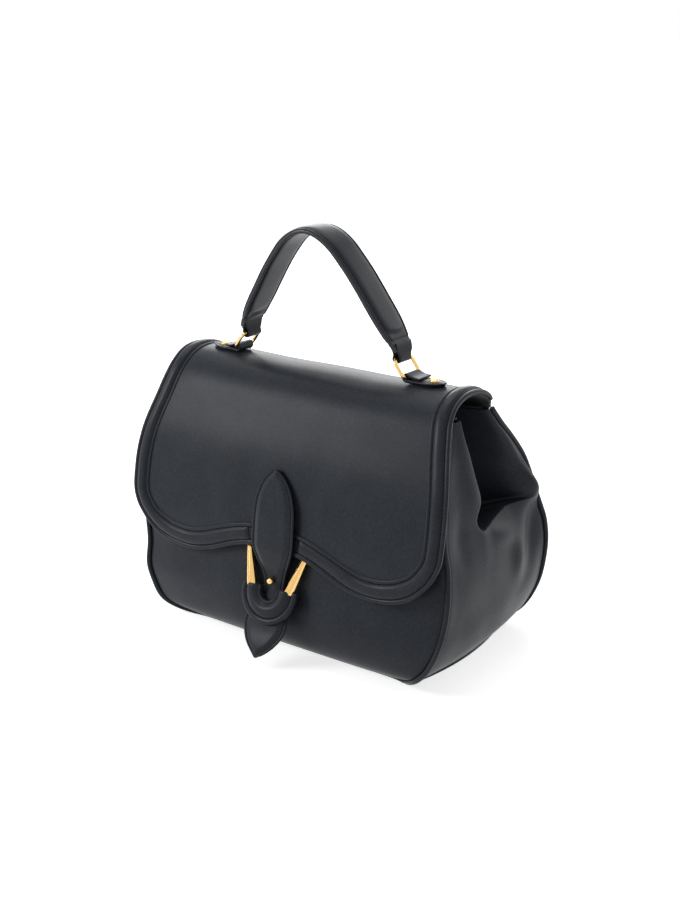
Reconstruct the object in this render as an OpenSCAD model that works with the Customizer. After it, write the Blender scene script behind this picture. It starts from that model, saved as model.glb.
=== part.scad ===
// Structured leather handbag with a scalloped flap, a top handle and a horseshoe buckle.
// Frame: X to the right along the front, Y towards the back, Z up, origin on the floor
// under the middle of the whole bag. All sizes in millimetres.

/* [Body] */
// Width of the body at its widest, over the side piping
body_w = 321; // [290:1:350]
// Height from the base to the crown of the flap
body_h = 243; // [228:1:262]
// Depth that the side outline is drawn to
body_d = 195; // [180:1:212]
// Thickness of the outer leather panels
panel_t = 2.2; // [1.6:0.1:2.4]
// Thickness of the textile lining
lining_t = 0.8; // [0.5:0.1:1]
// Thickness of the leather base
base_t = 3; // [2:0.1:3.2]
// Thickness of the stiffening board in the base
board_t = 2; // [1.2:0.1:2.6]
// Diameter of the corded piping in the seams
piping_d = 3.8; // [3:0.1:4]

/* [Flap] */
// Width of the flap at its widest
flap_w = 322; // [292:1:350]
// Thickness of the flap leather
flap_t = 2.4; // [1.8:0.1:2.8]
// Width of the raised border band
border_w = 17; // [12:0.5:20]
// Thickness of the border band at its edges
border_t = 1.3; // [0.9:0.1:2]
// Extra height of the cord under the middle of the border
border_cord_h = 1.4; // [0.8:0.1:2.6]

/* [Closure] */
// Width of the closure strap
strap_w = 43; // [38:0.5:47]
// Thickness of the closure strap
strap_t = 3; // [2.2:0.1:3.2]
// Diameter of the ball on the strap
stud_d = 6.4; // [5:0.1:7.5]
// Width between the bar centres of the buckle where they leave the wrap
buckle_w = 40; // [38:0.5:43]
// Diameter of the bars where they leave the wrap
bar_d = 7; // [5.5:0.1:7.4]
// Diameter of the bars at their upper ends
bar_top_d = 4; // [3:0.1:4.2]
// Diameter of the crossbar that the buckle hangs on
crossbar_d = 2.8; // [2.2:0.1:3]
// Thickness of the leather wrap round the foot of the buckle
wrap_t = 6.4; // [5.5:0.1:6.8]
// Diameter of the hidden magnetic snap
magnet_d = 18; // [12:0.5:22]
// Thickness of each half of the snap
magnet_t = 1.5; // [1:0.1:1.7]

/* [Handle] */
// Height of the handle arch above the upper bars of the rings
handle_h = 97; // [80:1:120]
// Distance between the upper bars of the two rings
handle_span = 156; // [140:1:166]
// Width of the handle strap
handle_w = 34; // [28:0.5:37]
// Thickness of each outer layer of the handle
handle_layer_t = 1.6; // [1.2:0.1:2]
// Thickness of the filler between the two layers
handle_filler_t = 2.4; // [2:0.1:3]
// Width of a ring over its wire
ring_w = 27; // [23:0.5:30]
// Distance between the two bars of a ring
ring_h = 17.2; // [15.5:0.1:19]
// Diameter of the ring wire
ring_wire_d = 3; // [2.4:0.1:3.2]
// Thickness of the leather tab that holds a ring
chape_t = 3; // [2.2:0.1:3.2]
// Thickness of the leather folded round a ring bar
loop_t = 1.6; // [1.2:0.1:2]
// Radial slack of a ring bar in its leather loop
loop_slack = 0.7; // [0.5:0.05:0.8]
// Diameter of the rivet on a tab
rivet_d = 8; // [6:0.1:9]

/* [Hidden] */

leather = "#2b2e33";
lining_colour = "#3a3d42";
board_colour = "#6b5a48";
gold = "#d9b25f";
steel = "#a9abb0";

// Clearance between neighbouring pieces of one body
gap = 0.3;
// Overrun of every cut past its face
over = 1;
// Distance from a seam line to the edges of the panels it joins
seam_inset = 2.4;
// How much further in the lining stops
lining_inset = 5;
// How far the piping's run along the floor lies inside the seams above it
run_inset = 3;
// Inset of the base from the gussets and from the piping
base_inset = 0.5;
// Inset of the board and of the base lining
board_inset = 12;
// Height of the piping's run along the floor
piping_z = 2.2;
// Diameter of the binding along the mouth
binding_d = 2.6;
// Distance from the hinge line to the first edge of the flap
hinge_gap = 0.6;
// Y of the body's own outline zero; it centres the whole bag on the origin
shift_y = -7.8;

// Stations of the body from the base up, each as shares of height, half width or depth:
// height, front half width, front, front edge setback, back half width, back edge,
// back bulge, gusset bulge, pinch depth, pinch place
body_shares = [
    [0.019, 0.740, -0.285, 0.008, 0.730, 0.528, 0.021, 0.085, 0.000, 0.50],
    [0.050, 0.826, -0.350, 0.020, 0.808, 0.544, 0.031, 0.052, 0.000, 0.50],
    [0.103, 0.904, -0.390, 0.045, 0.872, 0.554, 0.041, 0.040, 0.000, 0.50],
    [0.185, 0.968, -0.405, 0.052, 0.926, 0.562, 0.046, 0.028, 0.000, 0.50],
    [0.267, 0.994, -0.391, 0.055, 0.949, 0.567, 0.051, 0.018, 0.000, 0.50],
    [0.350, 1.000, -0.366, 0.045, 0.960, 0.564, 0.051, 0.012, 0.012, 0.50],
    [0.432, 0.990, -0.337, 0.030, 0.956, 0.546, 0.046, 0.006, 0.050, 0.52],
    [0.486, 0.978, -0.325, 0.020, 0.947, 0.518, 0.041, 0.000, 0.093, 0.53],
    [0.519, 0.969, -0.323, 0.015, 0.941, 0.500, 0.038, 0.000, 0.137, 0.53],
    [0.560, 0.956, -0.312, 0.012, 0.935, 0.474, 0.036, 0.000, 0.150, 0.50],
    [0.626, 0.941, -0.292, 0.010, 0.928, 0.433, 0.031, 0.000, 0.150, 0.46],
    [0.708, 0.922, -0.264, 0.009, 0.916, 0.377, 0.026, 0.000, 0.156, 0.42],
    [0.790, 0.903, -0.226, 0.009, 0.903, 0.287, 0.018, 0.000, 0.162, 0.38],
    [0.848, 0.885, -0.196, 0.009, 0.894, 0.213, 0.010, 0.000, 0.174, 0.34],
    [0.909, 0.863, -0.162, 0.009, 0.885, 0.145, 0.000, 0.000, 0.187, 0.30]];
// Places across a panel, from its middle line to its edge
across_shares = [0, 0.2, 0.4, 0.58, 0.74, 0.87, 0.95, 1];
// Places along a gusset from the front seam to the back seam
gusset_shares = [0, 0.08, 0.16, 0.25, 0.34, 0.42, 0.5, 0.58, 0.68, 0.79, 0.9, 1];
// Reach of the pinch towards the front and the back seam
pinch_front_share = 0.16;
pinch_back_share = 0.42;

// Profile of the flap from the hinge to its front edge, as shares of depth and height,
// with the half width, the setback of its edges and the half width's rounding at each
flap_shares = [
    [0.144, 0.913, 0.880, 0.003], [0.131, 0.951, 0.888, 0.004],
    [0.077, 0.981, 0.894, 0.004], [0.005, 0.998, 0.896, 0.004],
    [-0.062, 1.000, 0.896, 0.004], [-0.123, 0.990, 0.896, 0.005],
    [-0.179, 0.965, 0.897, 0.008], [-0.228, 0.918, 0.910, 0.010],
    [-0.279, 0.831, 0.941, 0.010], [-0.328, 0.733, 0.978, 0.008],
    [-0.362, 0.634, 0.997, 0.006], [-0.384, 0.535, 1.000, 0.004],
    [-0.402, 0.444, 1.000, 0.002], [-0.409, 0.310, 1.000, 0.000]];
// Scalloped front edge of the flap: angle whose sine is the share of the half width,
// and height as a share of the body height
scallop_shares = [[0, 0.419], [7.2, 0.415], [13, 0.406], [18, 0.386], [23, 0.362],
    [28, 0.341], [32, 0.331], [36.5, 0.327], [41, 0.330], [46, 0.339], [52, 0.355],
    [57, 0.374], [63.5, 0.403], [70, 0.439], [77.5, 0.476], [84, 0.513], [90, 0.545]];
// Angles of the flap's columns
flap_angles = [0, 9, 17, 24, 30, 36, 42, 48, 54, 60, 66, 72, 78, 84, 90];
flap_rows = 17;
// Step along the flap's side edge
side_steps = 12;

// Closure strap from its upper tip to its lower tip: depth and height as shares of the
// body's depth and height, and half width as a share of the strap's own width
strap_shares = [
    [-0.369, 0.688, 0.03], [-0.374, 0.668, 0.20], [-0.386, 0.629, 0.37],
    [-0.403, 0.576, 0.47], [-0.418, 0.514, 0.50], [-0.428, 0.432, 0.50],
    [-0.428, 0.404, 0.47], [-0.421, 0.366, 0.39], [-0.411, 0.329, 0.30],
    [-0.408, 0.300, 0.26], [-0.411, 0.267, 0.25], [-0.426, 0.230, 0.31],
    [-0.443, 0.200, 0.40], [-0.461, 0.165, 0.46], [-0.483, 0.127, 0.44],
    [-0.513, 0.085, 0.29], [-0.538, 0.043, 0.03]];
// Place of the ball along the strap, counted in its stations
stud_station = 9;

// Buckle: hanging line behind the flap, as shares of depth and height
crossbar_y_share = -0.357;
crossbar_z_share = 0.424;
// Lean of the buckle, near enough to find the height of its foot
hang_lean = 21.4;
// How far the middle of the wrap's foot stands in front of the strap
foot_clear = 4.31;
// Spread of each bar from the middle plane
bar_spread = 20;
// Length of the bars from the crossbar to the wrap
bar_l = 37;
// Outer reach of the wrap and the radius of its notch
wrap_r = 28.4;
notch_r = 8;
// Straight part of the wrap above its half circle
wrap_straight = 3;
// Height of the snap's middle as a share of the body height
snap_z_share = 0.53;
// Clearance of the crossbar in its chape
crossbar_clear = 0.35;
chape_wall = 0.9;
buckle_chape_w = 22;
buckle_chape_h = 12;

// Handle arch from one ring bar over the crown to the other, as shares of half the span
// and of the arch's height, with the half width as a share of the handle's width
arch_shares = [
    [1.012, 0.062, 0.33], [0.985, 0.115, 0.36], [0.935, 0.180, 0.43],
    [0.872, 0.265, 0.48], [0.800, 0.354, 0.50], [0.720, 0.452, 0.50],
    [0.635, 0.556, 0.50], [0.540, 0.667, 0.50], [0.440, 0.770, 0.50],
    [0.330, 0.872, 0.50], [0.220, 0.943, 0.50], [0.110, 0.986, 0.50],
    [0, 1.000, 0.50]];
// Lean of a ring from the vertical, towards the middle of the bag
ring_lean = 36;
// Corner radius of a ring, to the middle of its wire
ring_corner_r = 5;
// Distance from the tip of a tab to the border band beside it
chape_tip_gap = 7.15;
chape_w = 19;
// Place of the rivet along the tab
rivet_share = 0.656;
// Row of the flap table that lies at the crown
crown_row = 4;
// Clearance of a tab above the crown
chape_lift = 0.4;
// Width of the folded loops and of the tongue between the handle's layers
tongue_w = 15;
// Y of the handle's middle plane in the body's own outline
handle_y = -14.5;

fn = 48;

half_w = body_w / 2;
flap_half = flap_w / 2;
n_body = len(body_shares);
n_flap = len(flap_shares);
n_strap = len(strap_shares);
n_arch = len(arch_shares);

// General helpers
function unit(v) = v / norm(v);
function mix(a, b, t) = a + (b - a) * t;
function ease(t) = t <= 0 ? 0 : t >= 1 ? 1 : t * t * (3 - 2 * t);
function flat(l) = [for (a = l) for (b = a) b];
function both_sides(s) = concat([for (i = [len(s) - 1:-1:1]) -s[i]], s);
function mirror_x(p) = [-p[0], p[1], p[2]];
// A cubic through the rows of a table, at a real-valued place in it
function row(t, i) = t[max(0, min(len(t) - 1, i))];
function through(t, w) = let (i = floor(min(w, len(t) - 1.001)), u = w - i,
    a = row(t, i - 1), b = row(t, i), c = row(t, i + 1), d = row(t, i + 2))
    0.5 * (2 * b + u * (c - a) + u * u * (2 * a - 5 * b + 4 * c - d)
    + u * u * u * (3 * b - a - 3 * c + d));

// Outward normal of a grid of points at row i and column j
function grid_normal(g, i, j, turn) = let (
    a = g[min(i + 1, len(g) - 1)][j] - g[max(i - 1, 0)][j],
    b = g[i][min(j + 1, len(g[0]) - 1)] - g[i][max(j - 1, 0)])
    turn * unit(cross(b, a));
function grid_offset(g, d, turn) = [for (i = [0:len(g) - 1])
    [for (j = [0:len(g[0]) - 1]) g[i][j] - d * grid_normal(g, i, j, turn)]];

// Solid between two grids of the same size; a is outside when turn is 1
module sheet_between(a, b, turn) {
    r = len(a);
    c = len(a[0]);
    n = r * c;
    outer = [for (i = [0:r - 2]) for (j = [0:c - 2]) each
        [[i * c + j, (i + 1) * c + j, (i + 1) * c + j + 1],
         [i * c + j, (i + 1) * c + j + 1, i * c + j + 1]]];
    inner = [for (f = outer) [f[2] + n, f[1] + n, f[0] + n]];
    rim = concat([for (j = [0:c - 1]) j], [for (i = [1:r - 1]) i * c + c - 1],
        [for (j = [c - 2:-1:0]) (r - 1) * c + j], [for (i = [r - 2:-1:1]) i * c]);
    m = len(rim);
    side = [for (k = [0:m - 1]) let (p = rim[k], q = rim[(k + 1) % m]) each
        [[p, q, q + n], [p, q + n, p + n]]];
    faces = concat(outer, inner, side);
    turned = turn > 0 ? faces : [for (f = faces) [f[2], f[1], f[0]]];
    polyhedron(points = concat(flat(a), flat(b)), faces = turned);
}

// Tube of radius r through a path, with rings square to it
function path_dir(p, i) = unit(p[min(i + 1, len(p) - 1)] - p[max(i - 1, 0)]);
module tube(p, r, sides, ref) {
    rings = [for (i = [0:len(p) - 1]) let (t = path_dir(p, i), a = unit(cross(t, ref)),
        b = cross(a, t)) [for (k = [0:sides - 1])
        p[i] + r * (cos(360 * k / sides) * a + sin(360 * k / sides) * b)]];
    n = len(p);
    walls = [for (i = [0:n - 2]) for (k = [0:sides - 1]) let (m = (k + 1) % sides) each
        [[i * sides + k, (i + 1) * sides + k, (i + 1) * sides + m],
         [i * sides + k, (i + 1) * sides + m, i * sides + m]]];
    start = [for (k = [1:sides - 2]) [0, k, k + 1]];
    end = [for (k = [1:sides - 2]) let (o = (n - 1) * sides) [o, o + k + 1, o + k]];
    polyhedron(points = flat(rings), faces = concat(walls, start, end));
}

// Body surfaces
function station(i) = let (s = body_shares[i]) [i == 0 ? base_t + gap : s[0] * body_h, s[1] * half_w,
    s[2] * body_d, s[3] * body_d, s[4] * half_w, s[5] * body_d, s[6] * body_d,
    s[7] * half_w, s[8] * half_w, s[9]];
// Direction square to a seam, into its panel, as x and z; k picks the front or back seam
function seam_in(i, k) = let (a = station(max(i - 1, 0)), b = station(min(i + 1, n_body - 1)),
    d = unit([b[k] - a[k], b[0] - a[0]])) [-d[1], d[0]];
function front_pt(i, u, inset) = let (s = station(i), n = seam_in(i, 1) * inset)
    [u * (s[1] + n[0]), s[2] + s[3] * pow(abs(u), 3) + shift_y, s[0] + n[1] * pow(u, 6)];
function back_pt(i, u, inset) = let (s = station(i), n = seam_in(i, 4) * inset)
    [u * (s[4] + n[0]), s[5] + s[6] * (1 - u * u) + shift_y, s[0] + n[1] * pow(u, 6)];
function front_seam(i, side) = let (s = station(i)) [side * s[1], s[2] + s[3] + shift_y, s[0]];
function back_seam(i, side) = let (s = station(i)) [side * s[4], s[5] + shift_y, s[0]];
function pinch(u, c) = u < c ? ease((u - c + pinch_front_share) / pinch_front_share)
    : ease(1 - (u - c) / pinch_back_share);
function plain_pt(i, u, inset) = let (s = station(i), a = front_seam(i, 1),
    b = back_seam(i, 1), v = mix(inset / (b[1] - a[1]), 1 - inset / (b[1] - a[1]), u))
    [mix(a[0], b[0], v) + s[7] * pow(sin(180 * v), 0.7), mix(a[1], b[1], v), s[0], v];
function gusset_pt(i, u, inset) = let (s = station(i), p = plain_pt(i, u, inset))
    [p[0] - s[8] * pinch(p[3], s[9]), p[1], p[2]];
function front_grid(inset) = [for (i = [0:n_body - 1])
    [for (u = both_sides(across_shares)) front_pt(i, u, inset)]];
function back_grid(inset) = [for (i = [0:n_body - 1])
    [for (u = both_sides(across_shares)) back_pt(i, u, inset)]];
function gusset_grid(inset) = [for (i = [0:n_body - 1])
    [for (u = gusset_shares) gusset_pt(i, u, inset)]];
function plain_grid(inset) = [for (i = [0:n_body - 1])
    [for (u = gusset_shares) let (p = plain_pt(i, u, inset)) [p[0], p[1], p[2]]]];
// The lining hangs straight where the leather folds, clear of the whole fold
function hang(u) = ease(u / 0.2) * ease((1 - u) / 0.2);
function hung(g) = [for (i = [0:n_body - 1]) [for (j = [0:len(gusset_shares) - 1])
    g[i][j] - [station(i)[8] * hang(gusset_shares[j]), 0, 0]]];
function floor_loop() = concat(
    [for (u = both_sides(across_shares)) front_pt(0, u, 0)],
    [for (u = gusset_shares) if (u > 0 && u < 1) gusset_pt(0, u, 0)],
    [for (u = both_sides(across_shares)) mirror_x(back_pt(0, u, 0))],
    [for (k = [len(gusset_shares) - 2:-1:1]) mirror_x(gusset_pt(0, gusset_shares[k], 0))]);
function floor_outline(inset) = let (hw = gusset_pt(0, 0.5, 0)[0],
    low = front_seam(0, 1)[1] + run_inset + piping_d / 2 + inset,
    high = back_seam(0, 1)[1] - run_inset - piping_d / 2 - inset)
    [for (p = floor_loop()) [p[0] * (1 - inset / hw), max(low, min(high, p[1]))]];

module body_sheet(g, from, thick, turn) {
    sheet_between(grid_offset(g, from, turn), grid_offset(g, from + thick, turn), turn);
}
module front_panel() {
    color(leather) body_sheet(front_grid(seam_inset), 0, panel_t, 1);
}
module back_panel() {
    color(leather) body_sheet(back_grid(seam_inset), 0, panel_t, -1);
}
module gusset(side) {
    color(leather) mirror([side < 0 ? 1 : 0, 0, 0])
        body_sheet(gusset_grid(seam_inset), 0, panel_t, 1);
}
module lining_front() {
    color(lining_colour) body_sheet(front_grid(lining_inset), panel_t + gap, lining_t, 1);
}
module lining_back() {
    color(lining_colour) body_sheet(back_grid(lining_inset), panel_t + gap, lining_t, -1);
}
module lining_side(side) {
    color(lining_colour) mirror([side < 0 ? 1 : 0, 0, 0])
        sheet_between(hung(grid_offset(plain_grid(lining_inset), panel_t + gap, 1)),
            hung(grid_offset(plain_grid(lining_inset), panel_t + gap + lining_t, 1)), 1);
}
module floor_plate(z, t, inset) {
    translate([0, 0, z]) linear_extrude(t) polygon(floor_outline(inset));
}
module base_panel() {
    color(leather) floor_plate(0, base_t, base_inset);
}
module base_board() {
    color(board_colour) floor_plate(base_t, board_t, board_inset);
}
module lining_base() {
    color(lining_colour) floor_plate(base_t + board_t, lining_t, board_inset);
}
function seam_path(front) = let (seam = [for (i = [n_body - 1:-1:0])
    front ? front_seam(i, -1) : back_seam(i, -1)], foot = seam[n_body - 1],
    low = [foot[0] * 0.86, foot[1] + (front ? 1 : -1) * run_inset, piping_z])
    concat(seam, [low], [mirror_x(low)], [for (k = [n_body - 1:-1:0]) mirror_x(seam[k])]);
module front_piping() {
    color(leather) tube(seam_path(true), piping_d / 2, 6, [0, 1, 0]);
}
module back_piping() {
    color(leather) tube(seam_path(false), piping_d / 2, 6, [0, 1, 0]);
}
// Binding along the front and the sides of the mouth
module mouth_binding() {
    top = n_body - 1;
    rise = [0, 0, binding_d / 2 + 2 * gap];
    ins = [0, panel_t / 2, 0];
    side = [for (u = gusset_shares) if (u > 0.05 && u < 0.9)
        gusset_pt(top, u, seam_inset) + rise - [panel_t / 2, 0, 0]];
    front = [for (u = both_sides(across_shares)) if (abs(u) < 0.9)
        front_pt(top, u, seam_inset) + rise + ins];
    path = concat([for (k = [len(side) - 1:-1:0]) mirror_x(side[k])], front, side);
    color(leather) tube(path, binding_d / 2, 6, [0, 0, 1]);
}

// Flap surface: x across, q along the profile from the hinge, off outwards
function flap_knot(i) = [flap_shares[i][0] * body_d + shift_y, flap_shares[i][1] * body_h];
flap_knots = [for (i = [0:n_flap - 1]) flap_knot(i)];
function run(i) = i == 0 ? 0 : run(i - 1) + norm(flap_knots[i] - flap_knots[i - 1]);
flap_runs = [for (i = [0:n_flap - 1]) run(i)];
place_of_run = [for (i = [0:n_flap - 1]) [flap_runs[i], i]];
front_row = 7;
run_of_height = [for (i = [n_flap - 1:-1:front_row]) [flap_knots[i][1], flap_runs[i]]];
function flap_yz(w) = through(flap_knots, w);
function flap_out(w) = let (d = unit(flap_yz(min(w + 0.1, n_flap - 1)) - flap_yz(max(w - 0.1, 0))))
    [d[1], -d[0]];
function flap_half_at(w) = through(flap_shares, w)[2] * flap_half;
function flap_pt(x, q, off) = let (w = lookup(q, place_of_run), c = flap_yz(w),
    n = flap_out(w), sb = through(flap_shares, w)[3] * body_d,
    k = off - sb * pow(min(1, abs(x) / flap_half_at(w)), 3))
    [x, c[0] - n[0] * k * -1, c[1] + n[1] * k];
function edge_run(a) = lookup(lookup(a, scallop_shares) * body_h, run_of_height);
function column(a, rows, inset) = let (q1 = edge_run(abs(a)) - inset)
    [for (j = [0:rows]) let (q = mix(hinge_gap + inset, q1, j / rows),
    w = lookup(q, place_of_run)) [(flap_half_at(w) - inset) * sin(a), q]];
function flap_grid(off, inset) = let (cols = [for (a = both_sides(flap_angles))
    column(a, flap_rows, inset)]) [for (j = [0:flap_rows])
    [for (c = cols) flap_pt(c[j][0], c[j][1], off)]];
module flap_panel() {
    color(leather) sheet_between(flap_grid(0, 0), flap_grid(-flap_t, 0), -1);
}
module flap_lining() {
    color(lining_colour) sheet_between(flap_grid(-flap_t - gap, 1.5 * gap),
        flap_grid(-flap_t - gap - lining_t, 1.5 * gap), -1);
}

// Border band laid on the flap along its edge
border_start = asin((strap_w / 2 + gap) / flap_half) ;
border_angles = concat([border_start], [for (a = [14, 20, 26, 32, 38, 44, 50, 56, 62, 68, 74, 79, 84, 90]) a]);
function edge_line() = concat(
    [for (a = border_angles) let (q = edge_run(a), w = lookup(q, place_of_run))
        [flap_half_at(w) * sin(a), q]],
    [for (k = [1:side_steps]) let (q = mix(edge_run(90), border_w / 2, k / side_steps),
        w = lookup(q, place_of_run)) [flap_half_at(w), q]]);
function inward(e, i) = let (d = unit(e[min(i + 1, len(e) - 1)] - e[max(i - 1, 0)]))
    i == 0 ? [0, -1] : i == len(e) - 1 ? [-1, 0] : [-abs(d[1]) * 1 * (d[1] < 0 ? 1 : -1), d[0] * (d[1] < 0 ? -1 : -1)];
band_shares = [0, 0.2, 0.5, 0.8, 1];
// Clearance of the band above the flap
border_lift = 1;
function band_grid(top) = let (e = edge_line()) [for (i = [0:len(e) - 1])
    [for (c = band_shares) let (p = e[i] + inward(e, i) * border_w * c)
    flap_pt(p[0], p[1], border_lift + (top ? border_t + border_cord_h * sin(180 * c) : 0))]];
module border(side) {
    color(leather) mirror([side < 0 ? 1 : 0, 0, 0])
        sheet_between(band_grid(true), band_grid(false), 1);
}

// Closure strap
function strap_mid(i) = [strap_shares[i][0] * body_d + shift_y, strap_shares[i][1] * body_h];
strap_line = [for (i = [0:n_strap - 1]) strap_mid(i)];
function strap_out(i) = let (d = unit(strap_line[min(i + 1, n_strap - 1)]
    - strap_line[max(i - 1, 0)])) [d[1], -d[0]];
function strap_grid(off) = [for (i = [0:n_strap - 1]) let (c = strap_line[i] + strap_out(i) * off)
    [for (u = [-1, -0.5, 0, 0.5, 1]) [u * strap_shares[i][2] * strap_w, c[0], c[1]]]];
module closure_strap() {
    color(leather) sheet_between(strap_grid(0), strap_grid(-strap_t), -1);
}
module strap_stud() {
    c = strap_line[stud_station] + strap_out(stud_station) * 2 * gap;
    neck = stud_d * 0.3;
    color(gold) translate([0, c[0], c[1]]) rotate([90 + strap_tilt, 0, 0]) rotate_extrude($fn = fn) {
        square([stud_d * 0.42, stud_d * 0.12]);
        square([stud_d * 0.22, neck]);
        intersection() {
            translate([0, neck + stud_d * 0.35]) circle(d = stud_d, $fn = fn);
            translate([0, neck]) square([stud_d, stud_d]);
        }
    }
}
strap_tilt = atan2(strap_out(stud_station)[1], -strap_out(stud_station)[0]);

// Hidden snap between flap and front panel
function snap_place(t) = [0, mix(front_at(snap_z_share * body_h), flap_inner_at(snap_z_share * body_h), t),
    snap_z_share * body_h];
front_line = [for (i = [0:n_body - 1]) [station(i)[0], station(i)[2] + shift_y]];
function front_at(z) = lookup(z, front_line);
flap_line = [for (i = [n_flap - 1:-1:front_row]) [flap_knots[i][1], flap_knots[i][0]]];
function flap_inner_at(z) = lookup(z, flap_line) + flap_t + gap + lining_t;
snap_lean = atan2(front_at(snap_z_share * body_h + magnet_d / 2)
    - front_at(snap_z_share * body_h - magnet_d / 2), magnet_d);
flap_lean = atan2(flap_inner_at(snap_z_share * body_h + magnet_d / 2)
    - flap_inner_at(snap_z_share * body_h - magnet_d / 2), magnet_d);
module snap_body() {
    z = snap_z_share * body_h;
    color(steel) translate([0, front_at(z) - gap, z]) rotate([90 - snap_lean, 0, 0])
        cylinder(d = magnet_d, h = magnet_t, $fn = fn);
}
module snap_flap() {
    z = snap_z_share * body_h;
    color(steel) translate([0, flap_inner_at(z) + 1.5 * gap, z]) rotate([-90 - flap_lean, 0, 0])
        cylinder(d = magnet_d, h = magnet_t, $fn = fn);
}

// Horseshoe buckle, drawn hanging straight down from its crossbar and then leaned out
crossbar_y = crossbar_y_share * body_d + shift_y;
crossbar_z = crossbar_z_share * body_h;
bar_foot_x = buckle_w / 2;
bar_top_x = bar_foot_x + bar_l * tan(bar_spread);
// The tapered bars end square to themselves, just above the wrap
bar_foot_l = (bar_l - bar_d / 2 * sin(bar_spread)) / cos(bar_spread);
// The buckle hangs in front of the strap, whose line it follows at its foot
buckle_l = bar_l + gap + wrap_straight + wrap_r;
strap_by_height = [for (i = [n_strap - 1:-1:0]) [strap_line[i][1], strap_line[i][0]]];
foot_y = lookup(crossbar_z - buckle_l * cos(hang_lean), strap_by_height) - foot_clear;
buckle_lean = asin((crossbar_y - foot_y) / buckle_l);
core_d = wrap_t * 0.62;
core_sink = bar_d / 4;
module buckle_place() {
    translate([0, crossbar_y, crossbar_z]) rotate([-buckle_lean, 0, 0]) children();
}
module buckle_frame() {
    color(gold) buckle_place() {
        rotate([0, 90, 0]) cylinder(d = crossbar_d, h = 2 * bar_top_x, center = true, $fn = fn);
        for (s = [-1, 1]) {
            translate([s * bar_top_x, 0, 0]) sphere(d = bar_top_d, $fn = fn);
            translate([s * bar_top_x, 0, 0]) rotate([0, 180 + s * bar_spread, 0])
                cylinder(d1 = bar_top_d, d2 = bar_d, h = bar_foot_l, $fn = fn);
        }
        buckle_core(core_d);
    }
}
// Round core of the buckle's foot, inside the leather wrap
module buckle_core(d) {
    translate([0, 0, -bar_l + core_sink]) rotate([90, 0, 0]) rotate([0, 0, 180])
        rotate_extrude(angle = 180, $fn = 2 * fn) translate([bar_foot_x, 0]) circle(d = d, $fn = fn);
}
module wrap_outline() {
    difference() {
        union() {
            circle(r = wrap_r, $fn = 2 * fn);
            translate([-wrap_r, 0]) square([2 * wrap_r, wrap_straight]);
        }
        circle(r = notch_r, $fn = fn);
        translate([-notch_r, 0]) square([2 * notch_r, wrap_straight + over]);
        translate([-wrap_r - over, wrap_straight]) square([2 * wrap_r + 2 * over, wrap_r]);
    }
}
module buckle_wrap() {
    color(leather) buckle_place() difference() {
        translate([0, wrap_t / 2, -bar_l - gap - wrap_straight])
            rotate([90, 0, 0]) linear_extrude(wrap_t) wrap_outline();
        buckle_core(core_d + 2 * gap);
    }
}
// Leather loop under the flap that carries the crossbar
module buckle_chape() {
    r = crossbar_d / 2 + crossbar_clear;
    front = flap_inner_at(crossbar_z) + 1.5 * gap;
    color(leather) difference() {
        union() {
            translate([0, crossbar_y, crossbar_z]) rotate([0, 90, 0])
                cylinder(r = r + chape_wall, h = buckle_chape_w, center = true, $fn = fn);
            translate([-buckle_chape_w / 2, front, crossbar_z - r - chape_wall])
                cube([buckle_chape_w, crossbar_y - front, 2 * (r + chape_wall)]);
        }
        translate([0, crossbar_y, crossbar_z]) rotate([0, 90, 0])
            cylinder(r = r, h = buckle_chape_w + 2 * over, center = true, $fn = fn);
    }
}

// Handle, its rings and their tabs
ring_top_x = handle_span / 2;
ring_foot_x = ring_top_x + ring_h * sin(ring_lean);
// Each tab reaches from its ring to just short of the border band
chape_l = flap_shares[crown_row][2] * flap_half - border_w - chape_tip_gap - ring_foot_x;
rivet_reach = chape_l * rivet_share;
loop_r = ring_wire_d / 2 + loop_slack;
tab_z = body_h + chape_lift;
ring_foot_z = tab_z + loop_r + loop_t;
ring_top_z = ring_foot_z + ring_h * cos(ring_lean);
handle_mid_y = handle_y + shift_y;
module ring(side) {
    hw = ring_w / 2 - ring_wire_d / 2;
    c = ring_corner_r;
    color(gold) mirror([side < 0 ? 1 : 0, 0, 0])
        translate([ring_foot_x, handle_mid_y, ring_foot_z]) rotate([0, -ring_lean, 0]) {
        for (z = [0, ring_h]) translate([0, 0, z]) rotate([90, 0, 0])
            cylinder(d = ring_wire_d, h = 2 * (hw - c), center = true, $fn = fn);
        for (s = [-1, 1]) translate([0, s * hw, c])
            cylinder(d = ring_wire_d, h = ring_h - 2 * c, $fn = fn);
        for (k = [0:3]) translate([0, (k == 0 || k == 3 ? 1 : -1) * (hw - c), k < 2 ? ring_h - c : c])
            rotate([90, 0, 90]) rotate([0, 0, 90 * k])
                rotate_extrude(angle = 90, $fn = fn) translate([c, 0]) circle(d = ring_wire_d, $fn = fn);
    }
}
module chape(side) {
    color(leather) mirror([side < 0 ? 1 : 0, 0, 0]) translate([ring_foot_x, handle_mid_y, tab_z])
        difference() {
            union() {
                linear_extrude(chape_t) polygon([[0, -chape_w / 2], [chape_l * 0.55, -chape_w / 2],
                    [chape_l * 0.85, -chape_w * 0.3], [chape_l, -chape_w * 0.06],
                    [chape_l, chape_w * 0.06], [chape_l * 0.85, chape_w * 0.3],
                    [chape_l * 0.55, chape_w / 2], [0, chape_w / 2]]);
                translate([0, 0, loop_r + loop_t]) rotate([90, 0, 0])
                    cylinder(r = loop_r + loop_t, h = tongue_w, center = true, $fn = fn);
            }
            translate([0, 0, loop_r + loop_t]) rotate([90, 0, 0])
                cylinder(r = loop_r, h = chape_w + 2 * over, center = true, $fn = fn);
            translate([rivet_reach, 0, -over])
                cylinder(d = rivet_d / 2 + 2 * gap, h = chape_t + 2 * over, $fn = fn);
        }
}
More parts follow.
